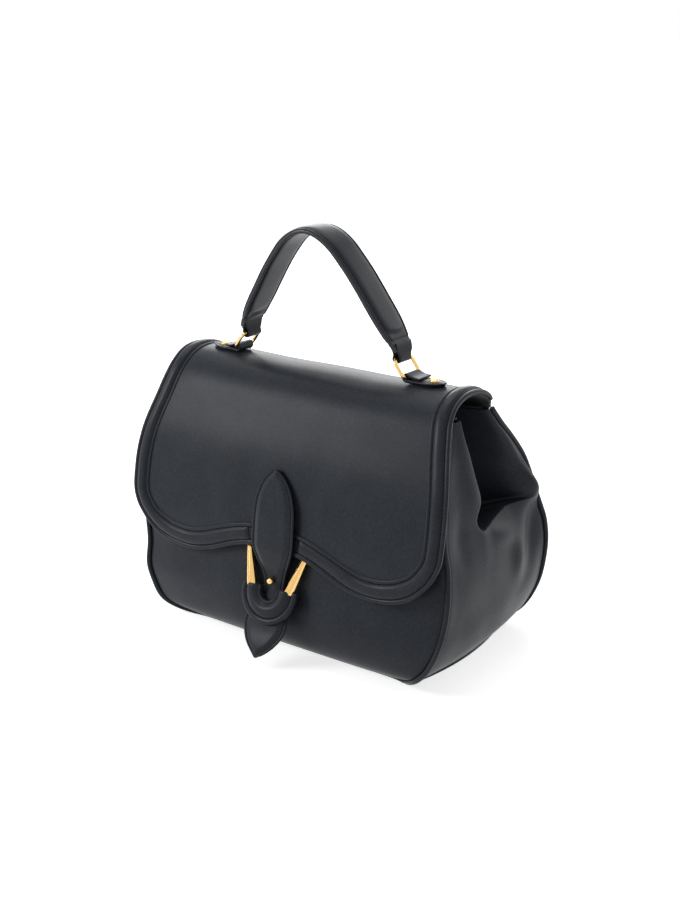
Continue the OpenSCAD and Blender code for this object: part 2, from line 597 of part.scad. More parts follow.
module chape_rivets() {
    for (s = [-1, 1]) color(gold) translate([s * (ring_foot_x + rivet_reach), handle_mid_y, tab_z]) {
        cylinder(d = rivet_d / 2, h = chape_t + gap + rivet_d / 16, $fn = fn);
        translate([0, 0, chape_t + gap]) intersection() {
            translate([0, 0, -rivet_d * 0.55]) sphere(r = rivet_d * 0.75, $fn = fn);
            cylinder(d = rivet_d, h = rivet_d, $fn = fn);
        }
    }
}
function arch_pt(i) = let (a = arch_shares[i]) [a[0] * ring_top_x, handle_mid_y,
    ring_top_z + a[1] * handle_h];
arch_half = [for (i = [0:n_arch - 1]) arch_pt(i)];
arch_line = concat(arch_half, [for (i = [n_arch - 2:-1:0]) mirror_x(arch_half[i])]);
arch_width = concat([for (a = arch_shares) a[2]], [for (i = [n_arch - 2:-1:0]) arch_shares[i][2]]);
function arch_out(i) = let (d = path_dir(arch_line, i)) [d[2], 0, -d[0]];
function arch_grid(off, from, k) = [for (i = [from:len(arch_line) - 1 - from])
    let (c = arch_line[i] + arch_out(i) * off, h = arch_width[i] * handle_w * k)
    [c - [0, h, 0], c, c + [0, h, 0]]];
module arch_layer(low, high, from, k) {
    sheet_between(arch_grid(high, from, k), arch_grid(low, from, k), 1);
}
half_fill = handle_filler_t / 2 + gap;
module handle_strap() {
    color(leather) arch_layer(half_fill, half_fill + handle_layer_t, 0, 1);
}
module handle_lining() {
    color(leather) arch_layer(-half_fill - handle_layer_t, -half_fill, 0, 1);
}
filler_row = 4;
tongue_row = 2;
module handle_filler() {
    color(leather) arch_layer(-handle_filler_t / 2, handle_filler_t / 2, filler_row, 0.85);
}
// Tongue between the layers, from the loop's wall up to a row of the arch
tongue_line = concat([[ring_top_x, 0, loop_r + loop_t / 2]],
    [for (i = [0:tongue_row]) arch_half[i] - [0, handle_mid_y, ring_top_z]]);
function tongue_out(i) = let (d = path_dir(tongue_line, i)) [d[2], 0, -d[0]];
function tongue_grid(off) = [for (i = [0:len(tongue_line) - 1])
    let (c = tongue_line[i] + tongue_out(i) * off)
    [c - [0, tongue_w / 2, 0], c, c + [0, tongue_w / 2, 0]]];
module handle_loop(side) {
    color(leather) mirror([side < 0 ? 1 : 0, 0, 0]) translate([0, handle_mid_y, ring_top_z])
        difference() {
            union() {
                translate([ring_top_x, 0, 0]) rotate([90, 0, 0])
                    cylinder(r = loop_r + loop_t, h = tongue_w, center = true, $fn = fn);
                sheet_between(tongue_grid(-handle_filler_t / 2), tongue_grid(handle_filler_t / 2), -1);
            }
            translate([ring_top_x, 0, 0]) rotate([90, 0, 0])
                cylinder(r = loop_r, h = tongue_w + 2 * over, center = true, $fn = fn);
        }
}

front_panel();
back_panel();
gusset(-1);  // gusset_left
gusset(1);  // gusset_right
base_panel();
base_board();
front_piping();
back_piping();
mouth_binding();
lining_front();
lining_back();
lining_side(-1);  // lining_left
lining_side(1);  // lining_right
lining_base();
snap_body();
flap_panel();
flap_lining();
border(-1);  // border_left
border(1);  // border_right
closure_strap();
strap_stud();
snap_flap();
buckle_chape();
buckle_frame();
buckle_wrap();
chape(-1);  // chape_left
chape(1);  // chape_right
chape_rivets();
ring(-1);  // ring_left
ring(1);  // ring_right
handle_strap();
handle_lining();
handle_filler();
handle_loop(-1);  // handle_loop_left
handle_loop(1);  // handle_loop_right
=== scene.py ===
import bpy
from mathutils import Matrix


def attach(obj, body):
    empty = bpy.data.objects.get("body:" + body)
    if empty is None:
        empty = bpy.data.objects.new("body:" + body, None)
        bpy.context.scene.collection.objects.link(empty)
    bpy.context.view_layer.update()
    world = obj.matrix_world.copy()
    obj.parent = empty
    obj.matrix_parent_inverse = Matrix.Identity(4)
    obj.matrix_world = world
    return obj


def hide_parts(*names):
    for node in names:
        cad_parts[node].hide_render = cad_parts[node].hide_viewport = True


bl_info = {
    "name": "Flap handbag",
    "version": (1, 0, 0),
    "blender": (4, 5, 0),
    "location": "View3D > Sidebar > Handbag",
    "description": "Dresses a structured flap handbag: leather, lining, stitching and metal",
    "category": "Object",
}

from collections import namedtuple
from math import asin, copysign, cos, degrees, dist, exp, pi, radians, sin, sqrt, tan

import bpy
from mathutils import Matrix, Vector, noise

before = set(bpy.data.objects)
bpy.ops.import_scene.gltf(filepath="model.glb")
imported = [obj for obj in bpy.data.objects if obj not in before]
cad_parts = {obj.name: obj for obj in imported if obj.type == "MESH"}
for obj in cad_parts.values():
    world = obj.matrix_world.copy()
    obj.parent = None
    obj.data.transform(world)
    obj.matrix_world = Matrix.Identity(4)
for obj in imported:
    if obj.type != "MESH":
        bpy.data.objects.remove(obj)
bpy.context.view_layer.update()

MM = 0.001
SIDES = ((1, "right"), (-1, "left"))
# All in mm: where the body's own zero lies along Y, and the air between two layers
SHIFT_Y = -7.8
GAP = 0.3
# Width of the dark band of painted shade that a row of stitches lies in, and how far both stand up
SHADE_BAND_WIDTH = 1.2
STAND = 0.1
# How far the lowest edge of a panel tucks in under the bag and drops to the floor
TUCK = 5.0
DROP = 2.9
# Points of one piece that are closer than this are merged
WELD = 0.01
# Thickness of a lining, and of the leather folded round a ring
LINING_T = 0.8
FOLD_T = 1.5
# Faces that meet at less than this angle are shaded as one surface, degrees
SMOOTH_ANGLE = 50


# Sizes and colours that a user would change
def linear(hex_colour):
    """sRGB hex to the linear values that shaders use."""
    parts = [int(hex_colour[i:i + 2], 16) / 255 for i in (1, 3, 5)]
    return [c / 12.92 if c <= 0.04045 else ((c + 0.055) / 1.055) ** 2.4 for c in parts]


def length_prop(label, about, value):
    return bpy.props.FloatProperty(
        name=label, description=about, default=value, subtype="DISTANCE", unit="LENGTH")


def colour_prop(label, about, value):
    return bpy.props.FloatVectorProperty(
        name=label, description=about, default=linear(value), size=3, min=0, max=1, subtype="COLOR")


class BagSizes(bpy.types.PropertyGroup):
    """Sizes of the leather work, in metres."""
    body_w: length_prop("Body width", "Width over the side piping", 0.321)
    body_h: length_prop("Body height", "Height from the base to the crown", 0.243)
    body_d: length_prop("Body depth", "Depth that the side outline is drawn to", 0.195)
    panel_t: length_prop("Panel leather", "Thickness of the body panels", 0.0022)
    flap_w: length_prop("Flap width", "Width of the flap at its widest", 0.322)
    flap_t: length_prop("Flap leather", "Thickness of the flap", 0.0024)
    strap_w: length_prop("Strap width", "Width of the closure strap", 0.043)
    strap_t: length_prop("Strap leather", "Thickness of the closure strap", 0.003)
    piping_d: length_prop("Piping", "Diameter of the corded piping", 0.0046)
    stitch_pitch: length_prop("Stitch pitch", "Distance from one stitch to the next", 0.0031)
    stitch_l: length_prop("Stitch length", "Visible length of one stitch", 0.0022)
    stitch_d: length_prop("Thread", "Thickness of the sewing thread", 0.0008)
    handle_w: length_prop("Handle width", "Width of the handle strap", 0.034)
    handle_h: length_prop("Handle height", "Height of the arch above the upper ring bars", 0.097)
    ring_wire: length_prop("Ring wire", "Diameter of the ring wire", 0.003)


class BagColours(bpy.types.PropertyGroup):
    """Colours of the finishes."""
    leather: colour_prop("Leather", "Body colour of the calf leather", "#2c3037")
    leather_deep: colour_prop("Leather, deep", "Tone in the hollows of the leather", "#24282e")
    edge: colour_prop("Edge paint", "Painted cut edges", "#0f1013")
    thread: colour_prop("Thread", "Sewing thread", "#16171a")
    # The stitch shade colour is painted shade: a dark band laid under the stitches where the needle channel's
    # shadow falls
    channel: colour_prop("Needle channel", "Shade in the channel under the stitches", "#040405")
    lining: colour_prop("Lining", "Woven lining", "#303236")
    gold: colour_prop("Gold", "Plated hardware", "#ebc27e")
    nickel: colour_prop("Nickel", "Hidden snap", "#c9c9c6")
    board: colour_prop("Board", "Base board", "#7a6650")


# The forms that the leather follows, as shares of the body's sizes (height, front half
# width, front, front setback, back half width, back, back bulge, side bulge, fold, place)
BODY = (
    (0.0136, 0.740, -0.285, 0.008, 0.730, 0.528, 0.021, 0.085, 0.000, 0.50),
    (0.050, 0.826, -0.350, 0.020, 0.808, 0.544, 0.031, 0.052, 0.000, 0.50),
    (0.103, 0.904, -0.390, 0.045, 0.872, 0.554, 0.041, 0.040, 0.000, 0.50),
    (0.185, 0.968, -0.405, 0.052, 0.926, 0.562, 0.046, 0.028, 0.000, 0.50),
    (0.267, 0.994, -0.391, 0.055, 0.949, 0.567, 0.051, 0.018, 0.000, 0.50),
    (0.350, 1.000, -0.366, 0.045, 0.960, 0.564, 0.051, 0.012, 0.012, 0.50),
    (0.432, 0.990, -0.337, 0.030, 0.956, 0.546, 0.046, 0.006, 0.050, 0.52),
    (0.486, 0.978, -0.325, 0.020, 0.947, 0.518, 0.041, 0.000, 0.093, 0.53),
    (0.519, 0.969, -0.323, 0.015, 0.941, 0.500, 0.038, 0.000, 0.137, 0.53),
    (0.560, 0.956, -0.312, 0.012, 0.935, 0.474, 0.036, 0.000, 0.150, 0.50),
    (0.626, 0.941, -0.292, 0.010, 0.928, 0.433, 0.031, 0.000, 0.150, 0.46),
    (0.708, 0.922, -0.264, 0.009, 0.916, 0.377, 0.026, 0.000, 0.156, 0.42),
    (0.790, 0.903, -0.226, 0.009, 0.903, 0.287, 0.018, 0.000, 0.162, 0.38),
    (0.848, 0.885, -0.196, 0.009, 0.894, 0.213, 0.010, 0.000, 0.174, 0.34),
    (0.909, 0.863, -0.162, 0.009, 0.885, 0.145, 0.000, 0.000, 0.187, 0.30),
)
# Flap profile from the hinge to the front edge: depth, height, half width, setback
FLAP = (
    (0.144, 0.913, 0.880, 0.003), (0.131, 0.951, 0.888, 0.004), (0.077, 0.981, 0.894, 0.004),
    (0.005, 0.998, 0.896, 0.004), (-0.062, 1.000, 0.896, 0.004), (-0.123, 0.990, 0.896, 0.005),
    (-0.179, 0.965, 0.897, 0.008), (-0.228, 0.918, 0.910, 0.010), (-0.279, 0.831, 0.941, 0.010),
    (-0.328, 0.733, 0.978, 0.008), (-0.362, 0.634, 0.997, 0.006), (-0.384, 0.535, 1.000, 0.004),
    (-0.402, 0.444, 1.000, 0.002), (-0.409, 0.310, 1.000, 0.000),
)
# Height of the flap's lower edge, by angle from the middle (0) to the side (90 degrees)
SCALLOP = (
    (0, 0.419), (7.2, 0.415), (13, 0.405), (18, 0.386), (23, 0.364), (28, 0.346), (32, 0.338),
    (36.5, 0.335), (41, 0.337), (46, 0.344), (52, 0.356), (57, 0.371), (63.5, 0.396), (70, 0.428),
    (77.5, 0.464), (84, 0.501), (90, 0.535),
)
# Closure strap from its tip to its foot: depth, height, half width
STRAP = (
    (-0.369, 0.688, 0.03), (-0.374, 0.668, 0.20), (-0.386, 0.629, 0.37), (-0.403, 0.576, 0.47),
    (-0.418, 0.514, 0.50), (-0.428, 0.432, 0.50), (-0.428, 0.404, 0.47), (-0.421, 0.366, 0.39),
    (-0.411, 0.329, 0.30), (-0.408, 0.300, 0.26), (-0.411, 0.267, 0.25), (-0.426, 0.230, 0.31),
    (-0.443, 0.200, 0.43), (-0.461, 0.165, 0.50), (-0.483, 0.127, 0.48), (-0.513, 0.085, 0.32),
    (-0.538, 0.043, 0.03),
)
# The handle from the right ring to the crown: place across, height, half width
ARCH = (
    (1.012, 0.062, 0.33), (0.985, 0.115, 0.36), (0.935, 0.180, 0.43), (0.872, 0.265, 0.48),
    (0.800, 0.354, 0.50), (0.720, 0.452, 0.50), (0.635, 0.556, 0.50), (0.540, 0.667, 0.50),
    (0.440, 0.770, 0.50), (0.330, 0.872, 0.50), (0.220, 0.943, 0.50), (0.110, 0.986, 0.50),
    (0, 1.000, 0.50),
)


# Small tools
def mix(a, b, t):
    return a + (b - a) * t


def ease(t):
    t = max(0.0, min(1.0, t))
    return t * t * (3 - 2 * t)


def cubic(table, w):
    """A smooth curve through the rows of a table, at a real-valued place in it."""
    last = len(table) - 1
    w = max(0.0, min(w, last - 1e-6))
    i = int(w)
    u = w - i
    a, b, c, d = (table[max(0, min(last, k))] for k in (i - 1, i, i + 1, i + 2))
    return [0.5 * (2 * q + u * (r - p) + u * u * (2 * p - 5 * q + 4 * r - s)
                   + u ** 3 * (3 * q - p - 3 * r + s)) for p, q, r, s in zip(a, b, c, d)]


def lookup(x, pairs):
    if x <= pairs[0][0]:
        return pairs[0][1]
    for (x0, y0), (x1, y1) in zip(pairs, pairs[1:]):
        if x <= x1:
            return mix(y0, y1, (x - x0) / (x1 - x0))
    return pairs[-1][1]


def sizes():
    return bpy.context.scene.bag_sizes


def colours():
    return bpy.context.scene.bag_colours


def mm(value):
    return value / MM


# The body's surfaces, in millimetres. The fields are the columns of BODY
Station = namedtuple("Station", "z half front setback back_half back bulge side fold place")
FRONT_HALF, BACK_HALF = 1, 4


def station(w):
    """The body's measures at the real-valued row w of BODY."""
    s = sizes()
    half, h, d = mm(s.body_w) / 2, mm(s.body_h), mm(s.body_d)
    return Station(*(v * k for v, k in zip(cubic(BODY, w), (h, half, d, d, half, d, d, half, half, 1))))


def seam_in(w, column):
    """Direction square to a seam, into its panel, as x and z."""
    a, b = station(w - 0.5), station(w + 0.5)
    d = Vector((b[column] - a[column], b.z - a.z)).normalized()
    return -d[1], d[0]


def front_point(w, u, inset=0.0):
    """A place on the front: row w, u from -1 to 1 across, inset mm in from the seams."""
    s, (x, z) = station(w), seam_in(w, FRONT_HALF)
    y = s.front + s.setback * abs(u) ** 3 + SHIFT_Y
    return Vector((u * (s.half + x * inset), y, s.z + z * inset * u ** 6))


def back_point(w, u, inset=0.0):
    s, (x, z) = station(w), seam_in(w, BACK_HALF)
    y = s.back + s.bulge * (1 - u * u) + SHIFT_Y
    return Vector((u * (s.back_half + x * inset), y, s.z + z * inset * u ** 6))


def front_seam(w, side=1):
    s = station(w)
    return Vector((side * s.half, s.front + s.setback + SHIFT_Y, s.z))


def back_seam(w, side=1):
    s = station(w)
    return Vector((side * s.back_half, s.back + SHIFT_Y, s.z))


# Height where the gussets' upper leather tucks in over the crease, and how deep it folds, mm
CREASE_Z = 129.5
FOLD_DEPTH = 39.0


def crease_height(v):
    """Height of the lip over which the upper leather tucks in."""
    return CREASE_Z - 2 + 7.0 * max(0.0, min(1.0, (v - 0.38) / 0.3))


def fold_depth(v, z, place):
    """How far the gusset leather folds in, 0 to 1: sharp in front, a deep pocket behind
    that ends at the crease below, then round again before the back seam."""
    place += 0.03 - 0.10 * ease((158 - z) / 22)
    high = ease((z - 130) / 40)
    crease = crease_height(v)
    near, far = mix(0.70, 0.63, high), mix(0.97, 0.91, high)
    front = ease((v - place + 0.11) / 0.11)
    back = 1 - ease((v - near) / (far - near))
    above = ease((z - crease + 3) / 11)
    below = 0.10 * exp(-max(0.0, crease - z) / 18)
    return min(front, back) * max(above, below)


def bump(a, b):
    return exp(-a * a - b * b)


def gusset_point(w, u, inset=0.0):
    """A place on the right gusset: row w, u from 0 at the front to 1 at the back."""
    s = station(w)
    a, b = front_seam(w), back_seam(w)
    span = b[1] - a[1]
    v = mix(inset / span, 1 - inset / span, u)
    x = mix(a[0], b[0], v) + s.side * sin(pi * v) ** 0.7
    y, z = mix(a[1], b[1], v), s.z
    fold = fold_depth(v, z, s.place)
    # The leather stands out round behind the fold and over the ledge under the crease, and
    # sinks into a hollow between that ledge and the back seam
    near_seam = min(1.0, v / 0.06, (1 - v) / 0.035)
    lobe = 10.5 * bump((v - 0.925) / 0.11, (z - 143) / 17) + 2.5 * bump((v - 0.88) / 0.12, (z - 185) / 30)
    ridge = 3.0 * bump((v - s[9] + 0.11) / 0.10, (z - 165) / 45)
    ledge = 4.0 * bump((z - 121 + 0.25 * y) / 9, (y - 22) / 30) + 2.5 * bump((y - 48) / 10, (z - 88) / 16)
    hollow = 5.0 * bump((y - lookup(z, ((50, 54), (65, 66), (88, 74), (121, 78)))) / 12, (z - 100) / 28)
    front_dent = 2.0 * bump((v - 0.16) / 0.07, (z - 128) / 22)
    # The pocket's floor hangs lower than its lip
    drop = 19.0 * fold * bump((z - crease_height(v) - 5) / 10, 0)
    return Vector((x - FOLD_DEPTH * fold + (lobe + ridge + ledge - hollow - front_dent) * near_seam, y,
                   z - drop))


def slack(p, size, amount, seed):
    """Gentle unevenness of soft leather, in millimetres."""
    q = Vector((p[0] / size + seed, p[1] / size, p[2] / size))
    return amount * noise.noise(q)


# The flap's surface: x across, q along the profile from the hinge, off outwards
def flap_knots():
    s = sizes()
    return [(k[0] * mm(s.body_d) + SHIFT_Y, k[1] * mm(s.body_h)) for k in FLAP]


def flap_runs():
    knots = flap_knots()
    runs = [0.0]
    for a, b in zip(knots, knots[1:]):
        runs.append(runs[-1] + dist(a, b))
    return runs


class FlapForm:
    """The flap's profile, worked out once from the sizes."""

    def __init__(self):
        s = sizes()
        self.knots = flap_knots()
        self.runs = flap_runs()
        self.places = [(r, i) for i, r in enumerate(self.runs)]
        self.half = mm(s.flap_w) / 2
        self.depth = mm(s.body_d)
        self.height = mm(s.body_h)
        steps = [Vector((a, lookup(a, SCALLOP))) for a in range(-12, 91)]
        steps = smooth_line([Vector((a.x, lookup(abs(a.x), SCALLOP))) for a in steps], 30)
        self.scallop = [(a.x, a.y) for a in steps]
        front = range(len(FLAP) - 1, 6, -1)
        self.run_of_height = [(self.knots[i][1], self.runs[i]) for i in front]

    def place(self, q):
        return lookup(q, self.places)

    def half_at(self, w):
        return cubic(FLAP, w)[2] * self.half

    def point(self, x, q, off=0.0):
        w = self.place(q)
        c = cubic(self.knots, w)
        a, b = cubic(self.knots, max(0, w - 0.1)), cubic(self.knots, min(len(self.knots) - 1, w + 0.1))
        d = Vector((b[0] - a[0], b[1] - a[1])).normalized()
        setback = cubic(FLAP, w)[3] * self.depth
        k = off - setback * min(1.0, abs(x) / self.half_at(w)) ** 3
        return Vector((x, c[0] + d[1] * k, c[1] - d[0] * k))

    def run_at_height(self, share):
        return lookup(share * self.height, self.run_of_height)

    def edge_run(self, angle):
        return lookup(lookup(angle, self.scallop) * self.height, self.run_of_height)

    def sewn(self, x, q, h, side):
        """A stitch's place h mm over the flap and the way out of it, on either side."""
        base, above = self.point(x, q, h), self.point(x, q, h + 1)
        return mirrored(base, side), mirrored(above - base, side)

    def column(self, angle, t, inset):
        """x and q at the share t of a column that runs from the hinge to the edge."""
        q = mix(0.6 + inset, self.edge_run(abs(angle)) - inset, t)
        x = (self.half_at(self.place(q)) - inset) * sin(radians(angle))
        return x, q

    def edge_line(self, first):
        """The flap's edge as (x, q), from beside the strap out and up to near the hinge."""
        steps, top = 120, 8.5
        angles = [mix(first, 90, i / steps) for i in range(steps + 1)]
        places = [(sin(radians(a)), self.edge_run(a)) for a in angles]
        places += [(1, mix(self.edge_run(90), top, i / steps)) for i in range(1, steps + 1)]
        line = [Vector((self.half_at(self.place(q)) * share, q)) for share, q in places]
        return even(smooth_line(line, 30), BAND_STEP)


def smooth_line(points, rounds):
    pts = list(points)
    for _ in range(rounds):
        pts = [pts[0]] + [(a + 2 * b + c) / 4 for a, b, c in zip(pts, pts[1:], pts[2:])] + [pts[-1]]
    return pts


def even(points, step):
    """The same line with its points evenly spaced."""
    runs = [0.0]
    for a, b in zip(points, points[1:]):
        runs.append(runs[-1] + (b - a).length)
    count = max(2, round(runs[-1] / step))
    out = []
    k = 0
    for i in range(count + 1):
        r = runs[-1] * i / count
        while k < len(runs) - 2 and runs[k + 1] < r:
            k += 1
        span = runs[k + 1] - runs[k]
        out.append(points[k].lerp(points[k + 1], (r - runs[k]) / span if span else 0))
    return out


# Making pieces
def deselect():
    if bpy.context.mode != "OBJECT":
        bpy.ops.object.mode_set(mode="OBJECT")
    bpy.ops.object.select_all(action="DESELECT")


def only(ob):
    deselect()
    ob.select_set(True)
    bpy.context.view_layer.objects.active = ob


def placed(name, data):
    """A new object in the scene."""
    ob = bpy.data.objects.new(name, data)
    bpy.context.scene.collection.objects.link(ob)
    return ob


def from_faces(name, points, faces):
    mesh = bpy.data.meshes.new(name)
    mesh.from_pydata(points, [], faces)
    return placed(name, mesh)


def shaped_grid(name, cols, rows, place):
    """A grid primitive whose points are moved to place(u, v), u and v from 0 to 1, in mm."""
    deselect()
    bpy.ops.mesh.primitive_grid_add(x_subdivisions=cols, y_subdivisions=rows, size=1, location=(0, 0, 0))
    ob = bpy.context.object
    ob.name = name
    n = cols + 1
    for k, vert in enumerate(ob.data.vertices):
        vert.co = Vector(place((k % n) / cols, (k // n) / rows)) * MM
    return ob


def face_along(ob, direction):
    """Turns the sheet over if its faces look away from direction (a vector or a function)."""
    total = 0.0
    for poly in ob.data.polygons:
        want = direction(poly.center) if callable(direction) else Vector(direction)
        total += poly.normal.dot(want) * poly.area
    if total < 0:
        only(ob)
        bpy.ops.object.mode_set(mode="EDIT")
        bpy.ops.mesh.select_all(action="SELECT")
        bpy.ops.mesh.flip_normals()
        bpy.ops.object.mode_set(mode="OBJECT")
    return ob


def close_up(ob, weld=True, caps=False):
    """Merges doubled points, fills open ends and turns the faces outwards."""
    only(ob)
    bpy.ops.object.mode_set(mode="EDIT")
    bpy.ops.mesh.select_all(action="SELECT")
    if weld:
        bpy.ops.mesh.remove_doubles(threshold=WELD * MM)
    if caps:
        bpy.ops.mesh.fill_holes(sides=0)
        bpy.ops.mesh.select_all(action="SELECT")
    bpy.ops.mesh.normals_make_consistent(inside=False)
    bpy.ops.object.mode_set(mode="OBJECT")
    return ob


def modify(ob, kind, **settings):
    only(ob)
    mod = ob.modifiers.new(kind.title(), kind)
    for key, value in settings.items():
        setattr(mod, key, value)
    bpy.ops.object.modifier_apply(modifier=mod.name)
    return ob


def round_edges(ob, width, angle, segments=2):
    return modify(ob, "BEVEL", width=width, segments=segments, limit_method="ANGLE",
                  angle_limit=radians(angle))


def thicken(ob, thickness_mm, edge_mm=0.5):
    """Gives a sheet its leather thickness inwards and rounds its cut edges."""
    modify(ob, "SOLIDIFY", thickness=thickness_mm * MM, offset=-1.0, use_even_offset=False)
    if edge_mm:
        round_edges(ob, edge_mm * MM, 55)
    return ob


def smooth(ob):
    only(ob)
    bpy.ops.object.shade_smooth_by_angle(angle=radians(SMOOTH_ANGLE))
    for mod in list(ob.modifiers):
        bpy.ops.object.modifier_apply(modifier=mod.name)


def settle(ob):
    """The soft body stands a little out of true: its left side leans out at mid height, in
    below that and out again at the foot."""
    for vert in ob.data.vertices:
        x, z = mm(vert.co.x), mm(vert.co.z)
        push = 7.5 * bump((z - 128) / 26, 0) - 4.5 * bump((z - 68) / 20, 0) + 5.0 * bump((z - 13) / 14, 0)
        vert.co.x -= push * ease((-60 - x) / 80) * MM


def done(ob, material, body, slot, *stands_for):
    """Last steps of every piece: finish, material, body and the nodes it stands for; slot is not used."""
    if body == "bag":
        settle(ob)
    smooth(ob)
    ob.data.materials.clear()
    ob.data.materials.append(MATERIALS[material])
    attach(ob, body)
    if stands_for:
        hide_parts(*stands_for)


def tube(name, points, radius_mm, cyclic=False, resolution=3):
    """A round cord or wire through points in millimetres, as a closed mesh."""
    deselect()
    curve = bpy.data.curves.new(name, "CURVE")
    curve.dimensions = "3D"
    curve.bevel_depth = radius_mm * MM
    curve.bevel_resolution = resolution
    curve.use_fill_caps = True
    spline = curve.splines.new("POLY")
    spline.points.add(len(points) - 1)
    for p, q in zip(spline.points, points):
        p.co = (q[0] * MM, q[1] * MM, q[2] * MM, 1)
    spline.use_cyclic_u = cyclic
    only(placed(name, curve))
    bpy.ops.object.convert(target="MESH")
    return close_up(bpy.context.object)


def join(name, pieces):
    only(pieces[0])
    for p in pieces[1:]:
        p.select_set(True)
    bpy.ops.object.join()
    ob = bpy.context.object
    ob.name = name
    return ob


def stitch_model():
    """One stitch along Z, 1 long and 1 thick: its points and its faces."""
    deselect()
    bpy.ops.mesh.primitive_cylinder_add(vertices=6, radius=0.5, depth=1.0, location=(0, 0, 0))
    model = round_edges(bpy.context.object, 0.24, 70, segments=1)
    shape = [v.co.copy() for v in model.data.vertices], [tuple(p.vertices) for p in model.data.polygons]
    bpy.data.objects.remove(model, do_unlink=True)
    return shape


# Section of the thin dark band of painted shade under a row of stitches: shares of its half width and heights
# in mm
SHADE_BAND_SECTION = ((-1, -0.3), (-1, 0.02), (0, 0.10), (1, 0.02), (1, -0.3))


def stitches(name, runs, body):
    """Rows of saddle stitches. Each run is a list of (point, outward normal) in mm."""
    s = sizes()
    verts, faces = stitch_model()
    pitch, length, thick = mm(s.stitch_pitch), mm(s.stitch_l), mm(s.stitch_d)
    thread_v, thread_f, shade_points, shade_faces = [], [], [], []
    for run in runs:
        line = [p for p, _ in run]
        total = sum((b - a).length for a, b in zip(line, line[1:]))
        count = max(1, int(total / pitch))
        step = total / count
        k, walked = 0, 0.0
        for i in range(count):
            at = (i + 0.5) * step
            while k < len(line) - 2 and walked + (line[k + 1] - line[k]).length < at:
                walked += (line[k + 1] - line[k]).length
                k += 1
            seg = line[k + 1] - line[k]
            t = (at - walked) / seg.length if seg.length else 0
            centre = line[k] + seg * t
            along = seg.normalized()
            up = run[k][1].lerp(run[k + 1][1], t).normalized()
            side = along.cross(up).normalized()
            up = side.cross(along)
            # A slight slant, as a sewing machine leaves it
            along = (along + side * 0.10).normalized()
            base = len(thread_v)
            for v in verts:
                rise = up * (v.y * thick * 0.8 + STAND)
                thread_v.append((centre + side * v.x * thick + rise + along * v.z * length) * MM)
            thread_f.extend([tuple(base + j for j in f) for f in faces])
        # A thin dark band of painted shade under the thread, where the needle channel's shadow falls; its
        # edges sink a little into the leather
        base, n = len(shade_points), len(SHADE_BAND_SECTION)
        for k, (p, up) in enumerate(run):
            along = line[min(k + 1, len(line) - 1)] - line[max(k - 1, 0)]
            side, up = along.cross(up).normalized() * SHADE_BAND_WIDTH / 2, up.normalized()
            shade_points.extend((p + side * a + up * (h + STAND)) * MM for a, h in SHADE_BAND_SECTION)
        for k in range(len(run) - 1):
            for j in range(n):
                a, b = base + k * n + j, base + k * n + (j + 1) % n
                shade_faces.append((a, b, b + n, a + n))
        for first in (base, base + (len(run) - 1) * n):
            shade_faces.append(tuple(first + j for j in range(n)))
    done(close_up(from_faces(name, thread_v, thread_f), weld=False), "thread", body, "leather")
    # The dark band under the stitches is painted shade
    done(close_up(from_faces(name + "_channel", shade_points, shade_faces), weld=False), "channel", body, "leather")


# Materials
MATERIALS = {}


def node(tree, kind, links=(), **settings):
    """Adds one node: settings by attribute or input name, links as (input, socket)."""
    n = tree.nodes.new("ShaderNode" + kind)
    for key, value in settings.items():
        if hasattr(n, key):
            setattr(n, key, value)
        else:
            n.inputs[key.replace("_", " ")].default_value = value
    for key, socket in links:
        tree.links.new(socket, n.inputs[key])
    return n


def shader(name, **sockets):
    """A material, its tree and its one shader, with constants on the shader's own sockets."""
    material = bpy.data.materials.new(name)
    material.use_nodes = True
    tree = material.node_tree
    tree.nodes.clear()
    bsdf = node(tree, "BsdfPrincipled", **sockets)
    node(tree, "OutputMaterial", [(0, bsdf.outputs[0])])
    return material, tree, bsdf


def coordinates(tree):
    return node(tree, "TexCoord").outputs["Object"]


def texture(tree, where, size_mm, kind="TexNoise", **settings):
    """A texture whose cells are about this many millimetres across."""
    return node(tree, kind, [("Vector", where)], Scale=1.0 / (size_mm * MM), **settings)


def ramp(tree, fac, *stops):
    """A colour between two stops, each a place and a colour."""
    r = node(tree, "ValToRGB", [("Fac", fac)])
    for element, (place, colour) in zip(r.color_ramp.elements, stops):
        element.position = place
        element.color = (*colour, 1)
    return r.outputs["Color"]


def spread(tree, value, low, high, **source):
    """A value from 0 to 1, or from source, spread from low to high."""
    return node(tree, "MapRange", [("Value", value)], To_Min=low, To_Max=high, **source).outputs["Result"]


def raised(tree, height, strength, distance, links=()):
    links = [("Height", height), *links]
    return node(tree, "Bump", links, Strength=strength, Distance=distance).outputs["Normal"]


def times(tone, share):
    return [c * share for c in tone]


